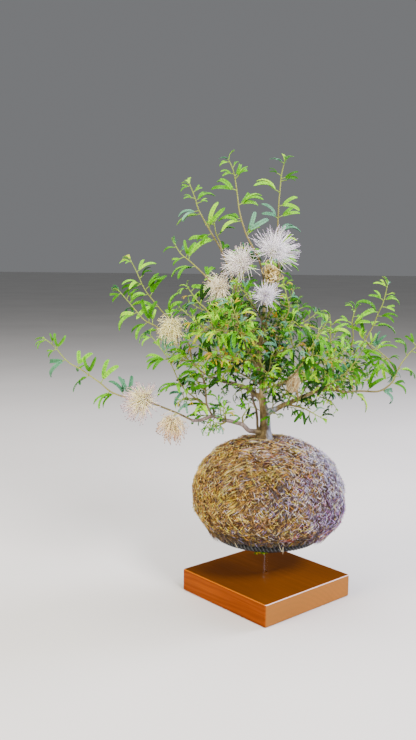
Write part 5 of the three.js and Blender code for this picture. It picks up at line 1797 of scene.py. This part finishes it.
def driedMaterial(name, colours):
    material, tree, shader = newMaterial(name, {"Roughness": 0.75, "Specular IOR Level": 0.25})
    place = objectPlace(tree)
    parts = ((noiseOf(tree, place, 240, 3, 0.6), 0.45), (attribute(tree, "stripTone"), 0.55))
    patches = maths(tree, "ADD", *(maths(tree, "MULTIPLY", value, share) for value, share in parts))
    linkLooks(tree, shader, ramp(tree, patches, list(zip((0.2, 0.4, 0.58, 0.78), colours))))
    raised(tree, shader, noiseOf(tree, place, 900, 3, 0.6), 0.6, 0.0005)
    return material


# A strip runs over the egg from its foot to its tip, and wavers as it goes.
def wrappedStrip(centre, axis, radius, random):
    side = acrossFrom(axis, random.normal(0, 1, 3))
    twist, swell = random.normal(0, dried["twist"]), random.uniform(*dried["wrapSwell"])
    first, last = sorted(random.uniform(dried["wrapFrom"], 1.0, 2))
    last = min(1.0, max(last, first + dried["wrapLeast"]))
    line = []
    for share in np.linspace(first, last, dried["points"]):
        angle = math.pi * share * dried["wrapTurn"]
        out = turned(side, axis, twist * share)
        line.append(centre - axis * (radius * dried["tall"] * math.cos(angle))
                    + out * (radius * dried["wide"] * swell * math.sin(angle)))
    return np.array(line) + random.normal(0, radius * dried["crinkle"], (dried["points"], 3))


# A short curled strip somewhere in an egg-shaped clump.
def tangledStrip(centre, axis, radius, random):
    way = unit(random.normal(0, 1, 3))
    place = centre + way * (radius * random.uniform(*dried["clumpReach"])) * np.array(dried["clump"])
    along = unit(random.normal(0, 1, 3) - axis * dried["hang"])
    aside = acrossFrom(along, random.normal(0, 1, 3))
    curl = random.uniform(*dried["curl"])
    sweep = np.linspace(0, random.uniform(*dried["sweep"]), dried["points"])
    return place + (along * np.sin(sweep)[:, None] + aside * (1 - np.cos(sweep))[:, None]) * curl


# A dry tuft at the tip of the shrivelled head.
def tuftStrip(centre, axis, radius, random):
    way = unit(axis + random.normal(0, dried["tuftAim"], 3))
    aside = acrossFrom(way, random.normal(0, 1, 3))
    shares = np.linspace(0, 1, dried["points"])[:, None]
    length = radius * random.uniform(*dried["tuftLength"])
    return (centre + axis * (radius * dried["tuftFrom"]) + way * (length * shares)
            + aside * (length * dried["tuftCurl"] * shares ** 2))


def makeDried():
    random = np.random.default_rng(17)
    axis = unit(np.array(dried["axis"]))
    for name, flower in driedFlowers.items():
        look = driedLooks[name]
        stalk = pointsOf(flower["stalk"])
        centre, radius = stalk[-1], flower["radius"]
        strands, tones = [stalkStrand(stalk, dried["stalkRadii"])], [dried["stalkTone"]]
        strips = [tangledStrip] * dried["tangle"] if look["tangled"] else (
            [wrappedStrip] * dried["wrapped"] + [tuftStrip] * dried["tuft"])
        for strip in strips:
            line = strip(centre, axis, radius, random)
            width = dried["width"] * random.uniform(*dried["widthSpread"]) * np.array(dried["swell"])
            strands.append(closedEnds(line, width))
            tones.append(random.uniform(0, 1))
        if not look["tangled"]:
            # The egg itself, under its strips.
            shares = np.linspace(0, 1, dried["eggPoints"])
            reach = radius * dried["eggWide"] * np.sin(math.pi * shares) ** dried["eggPower"]
            strands.append((centre + axis * (radius * dried["eggTall"] * (2 * shares - 1))[:, None],
                            np.where((shares == 0) | (shares == 1), 0, reach)))
            tones.append(dried["eggTone"])
        mesh = strandMesh(name, *zip(*strands), sides=6, values={"stripTone": tones})
        material = driedMaterial(name, look["colours"])
        finishPiece(name.replace("flower", "head"), mesh, [material], [name])


makeDried()


# Fibres that hang over the rim, and a tuft of live moss under it. Each stray starts on the ball and runs down
# through the places of its line, given as distance from the middle and height.
rim = {"skirt": 1700, "skirtFrom": 0.6, "skirtFull": 0.84, "least": 0.42, "drop": 10.5, "drops": (0.35, 1.0),
       "tops": (76.5, 83), "outs": (61.5, 70.5), "leans": (0.0, 2.4), "level": 77, "hug": 60.5, "hugPower": 0.8,
       "closest": 59.2, "aside": 0.55, "asideReach": 10, "shares": (0, 0.35, 0.7, 1.0), "fuller": 5.0,
       "layers": (-1, 0.7), "thicker": 1.35, "swells": {4: (0, 1.0, 1.0, 0), 5: (0, 0.9, 1.0, 0.85, 0)}}
stray = {"count": 4, "radius": 0.36, "line": [(60.5, 78.5), (61.0, 75.6), (60.2, 72.0), (59.4, 68.5)],
         "endOut": 58.6, "ends": (64.5, 69), "aside": 0.6, "from": 78, "asideShare": 0.6,
         "placed": [(-78, 0.1, 64.0), (-83, 0.75, 67.5)]}
tuft = {"blades": 46, "at": (-9.5, -52.5, 66.0), "spread": ((-5.5, 5.5), (-0.8, 1.2), (-0.6, 0.2)),
        "aim": (0.7, 0.3), "way": (-0.5, -0.75), "lengths": (2.2, 4.6), "curl": (0.5, -0.3, 0.6),
        "curlShare": 0.4, "radii": (0.3, 0.42, 0.38, 0.15), "tones": ((0.2, 0.55), (1.0, 1.5))}


def rimSkirt(random):
    fullerSide = unit(np.array(ball["fullerSide"]) * [1, 1, 0])
    paths = []
    for _ in range(rim["skirt"]):
        azimuth = random.uniform(0, 2 * math.pi)
        side = np.interp(abs(math.cos(azimuth)), [rim["skirtFrom"], rim["skirtFull"]], [rim["least"], 1.0])
        flat = flatWay(azimuth)
        bulge = rim["fuller"] * max(0, flat @ fullerSide) ** 6
        around = cross(up, flat) * random.normal(0, rim["aside"])
        top = random.uniform(*rim["tops"])
        drop = rim["drop"] * side * random.uniform(*rim["drops"])
        out = np.interp(top, rim["tops"], rim["outs"])
        lean = random.uniform(*rim["leans"])
        line = []
        for share in rim["shares"]:
            level = top - (top - rim["level"] + drop) * share
            reach = max(rim["closest"], out + lean - (out - rim["hug"]) * share ** rim["hugPower"])
            reach += bulge * (1 - share ** 2)
            line.append(flat * reach + around * (rim["asideReach"] * (share - 0.5)) + up * level)
        paths.append(np.array(line))
    return paths


# Single strands cross the cord ring from the ball.
def rimStrays(random):
    azimuths = [math.radians(degrees) for degrees, _, _ in stray["placed"]]
    azimuths += list(random.uniform(0, 2 * math.pi, stray["count"]))
    paths = []
    for k, azimuth in enumerate(azimuths):
        flat = flatWay(azimuth)
        if k < len(stray["placed"]):
            _, aside, end = stray["placed"][k]
        else:
            aside, end = random.normal(0, stray["aside"]), random.uniform(*stray["ends"])
        around = cross(up, flat) * aside
        paths.append(np.array([
            flat * out + around * (stray["from"] - level) * stray["asideShare"] + up * level
            for out, level in stray["line"] + [(stray["endOut"], end)]]))
    return paths


def makeRim():
    random = np.random.default_rng(5)
    paths = rimSkirt(random)
    strays = rimStrays(random)
    count = len(paths)
    tints = fibreTints(np.array([path[1] for path in paths]), np.full(count, -1),
                       random.uniform(*rim["layers"], count))
    tints = np.vstack([tints, np.tile(srgb(fibreColours["cream"])[:3], (len(strays), 1))])
    widths = list(rim["thicker"] * random.uniform(fibre["thin"], fibre["thick"], count))
    widths += [stray["radius"]] * len(strays)
    paths += strays
    sizes = [width * np.array(rim["swells"][len(path)]) for width, path in zip(widths, paths)]
    mesh = strandMesh("rim", paths, sizes, values=tintValues(tints))
    finishPiece("ball_fibres_rim", mesh, [fibreMaterial()])
    makeTuft(random)


def makeTuft(random):
    strands, tones = [], []
    for _ in range(tuft["blades"]):
        start = np.array(tuft["at"]) + np.array([random.uniform(*ends) for ends in tuft["spread"]])
        across, forward = tuft["aim"]
        way = unit(np.array([random.normal(0, across), tuft["way"][0] + random.normal(0, forward),
                             tuft["way"][1]]))
        length = random.uniform(*tuft["lengths"])
        curl = np.array([random.normal(0, tuft["curl"][0]), *tuft["curl"][1:]]) * length
        line = [start + way * (length * share) + curl * share ** 2 * tuft["curlShare"]
                for share in rim["shares"]]
        strands.append(closedEnds(np.array(line), np.array(tuft["radii"])))
        tones.append(random.choice([random.uniform(*ends) for ends in tuft["tones"]]))
    mesh = strandMesh("tuft", *zip(*strands), values={"leafTone": tones})
    finishPiece("moss_tuft", mesh, [leafGreen])


makeRim()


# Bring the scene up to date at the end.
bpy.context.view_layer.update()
report("the plant is complete")
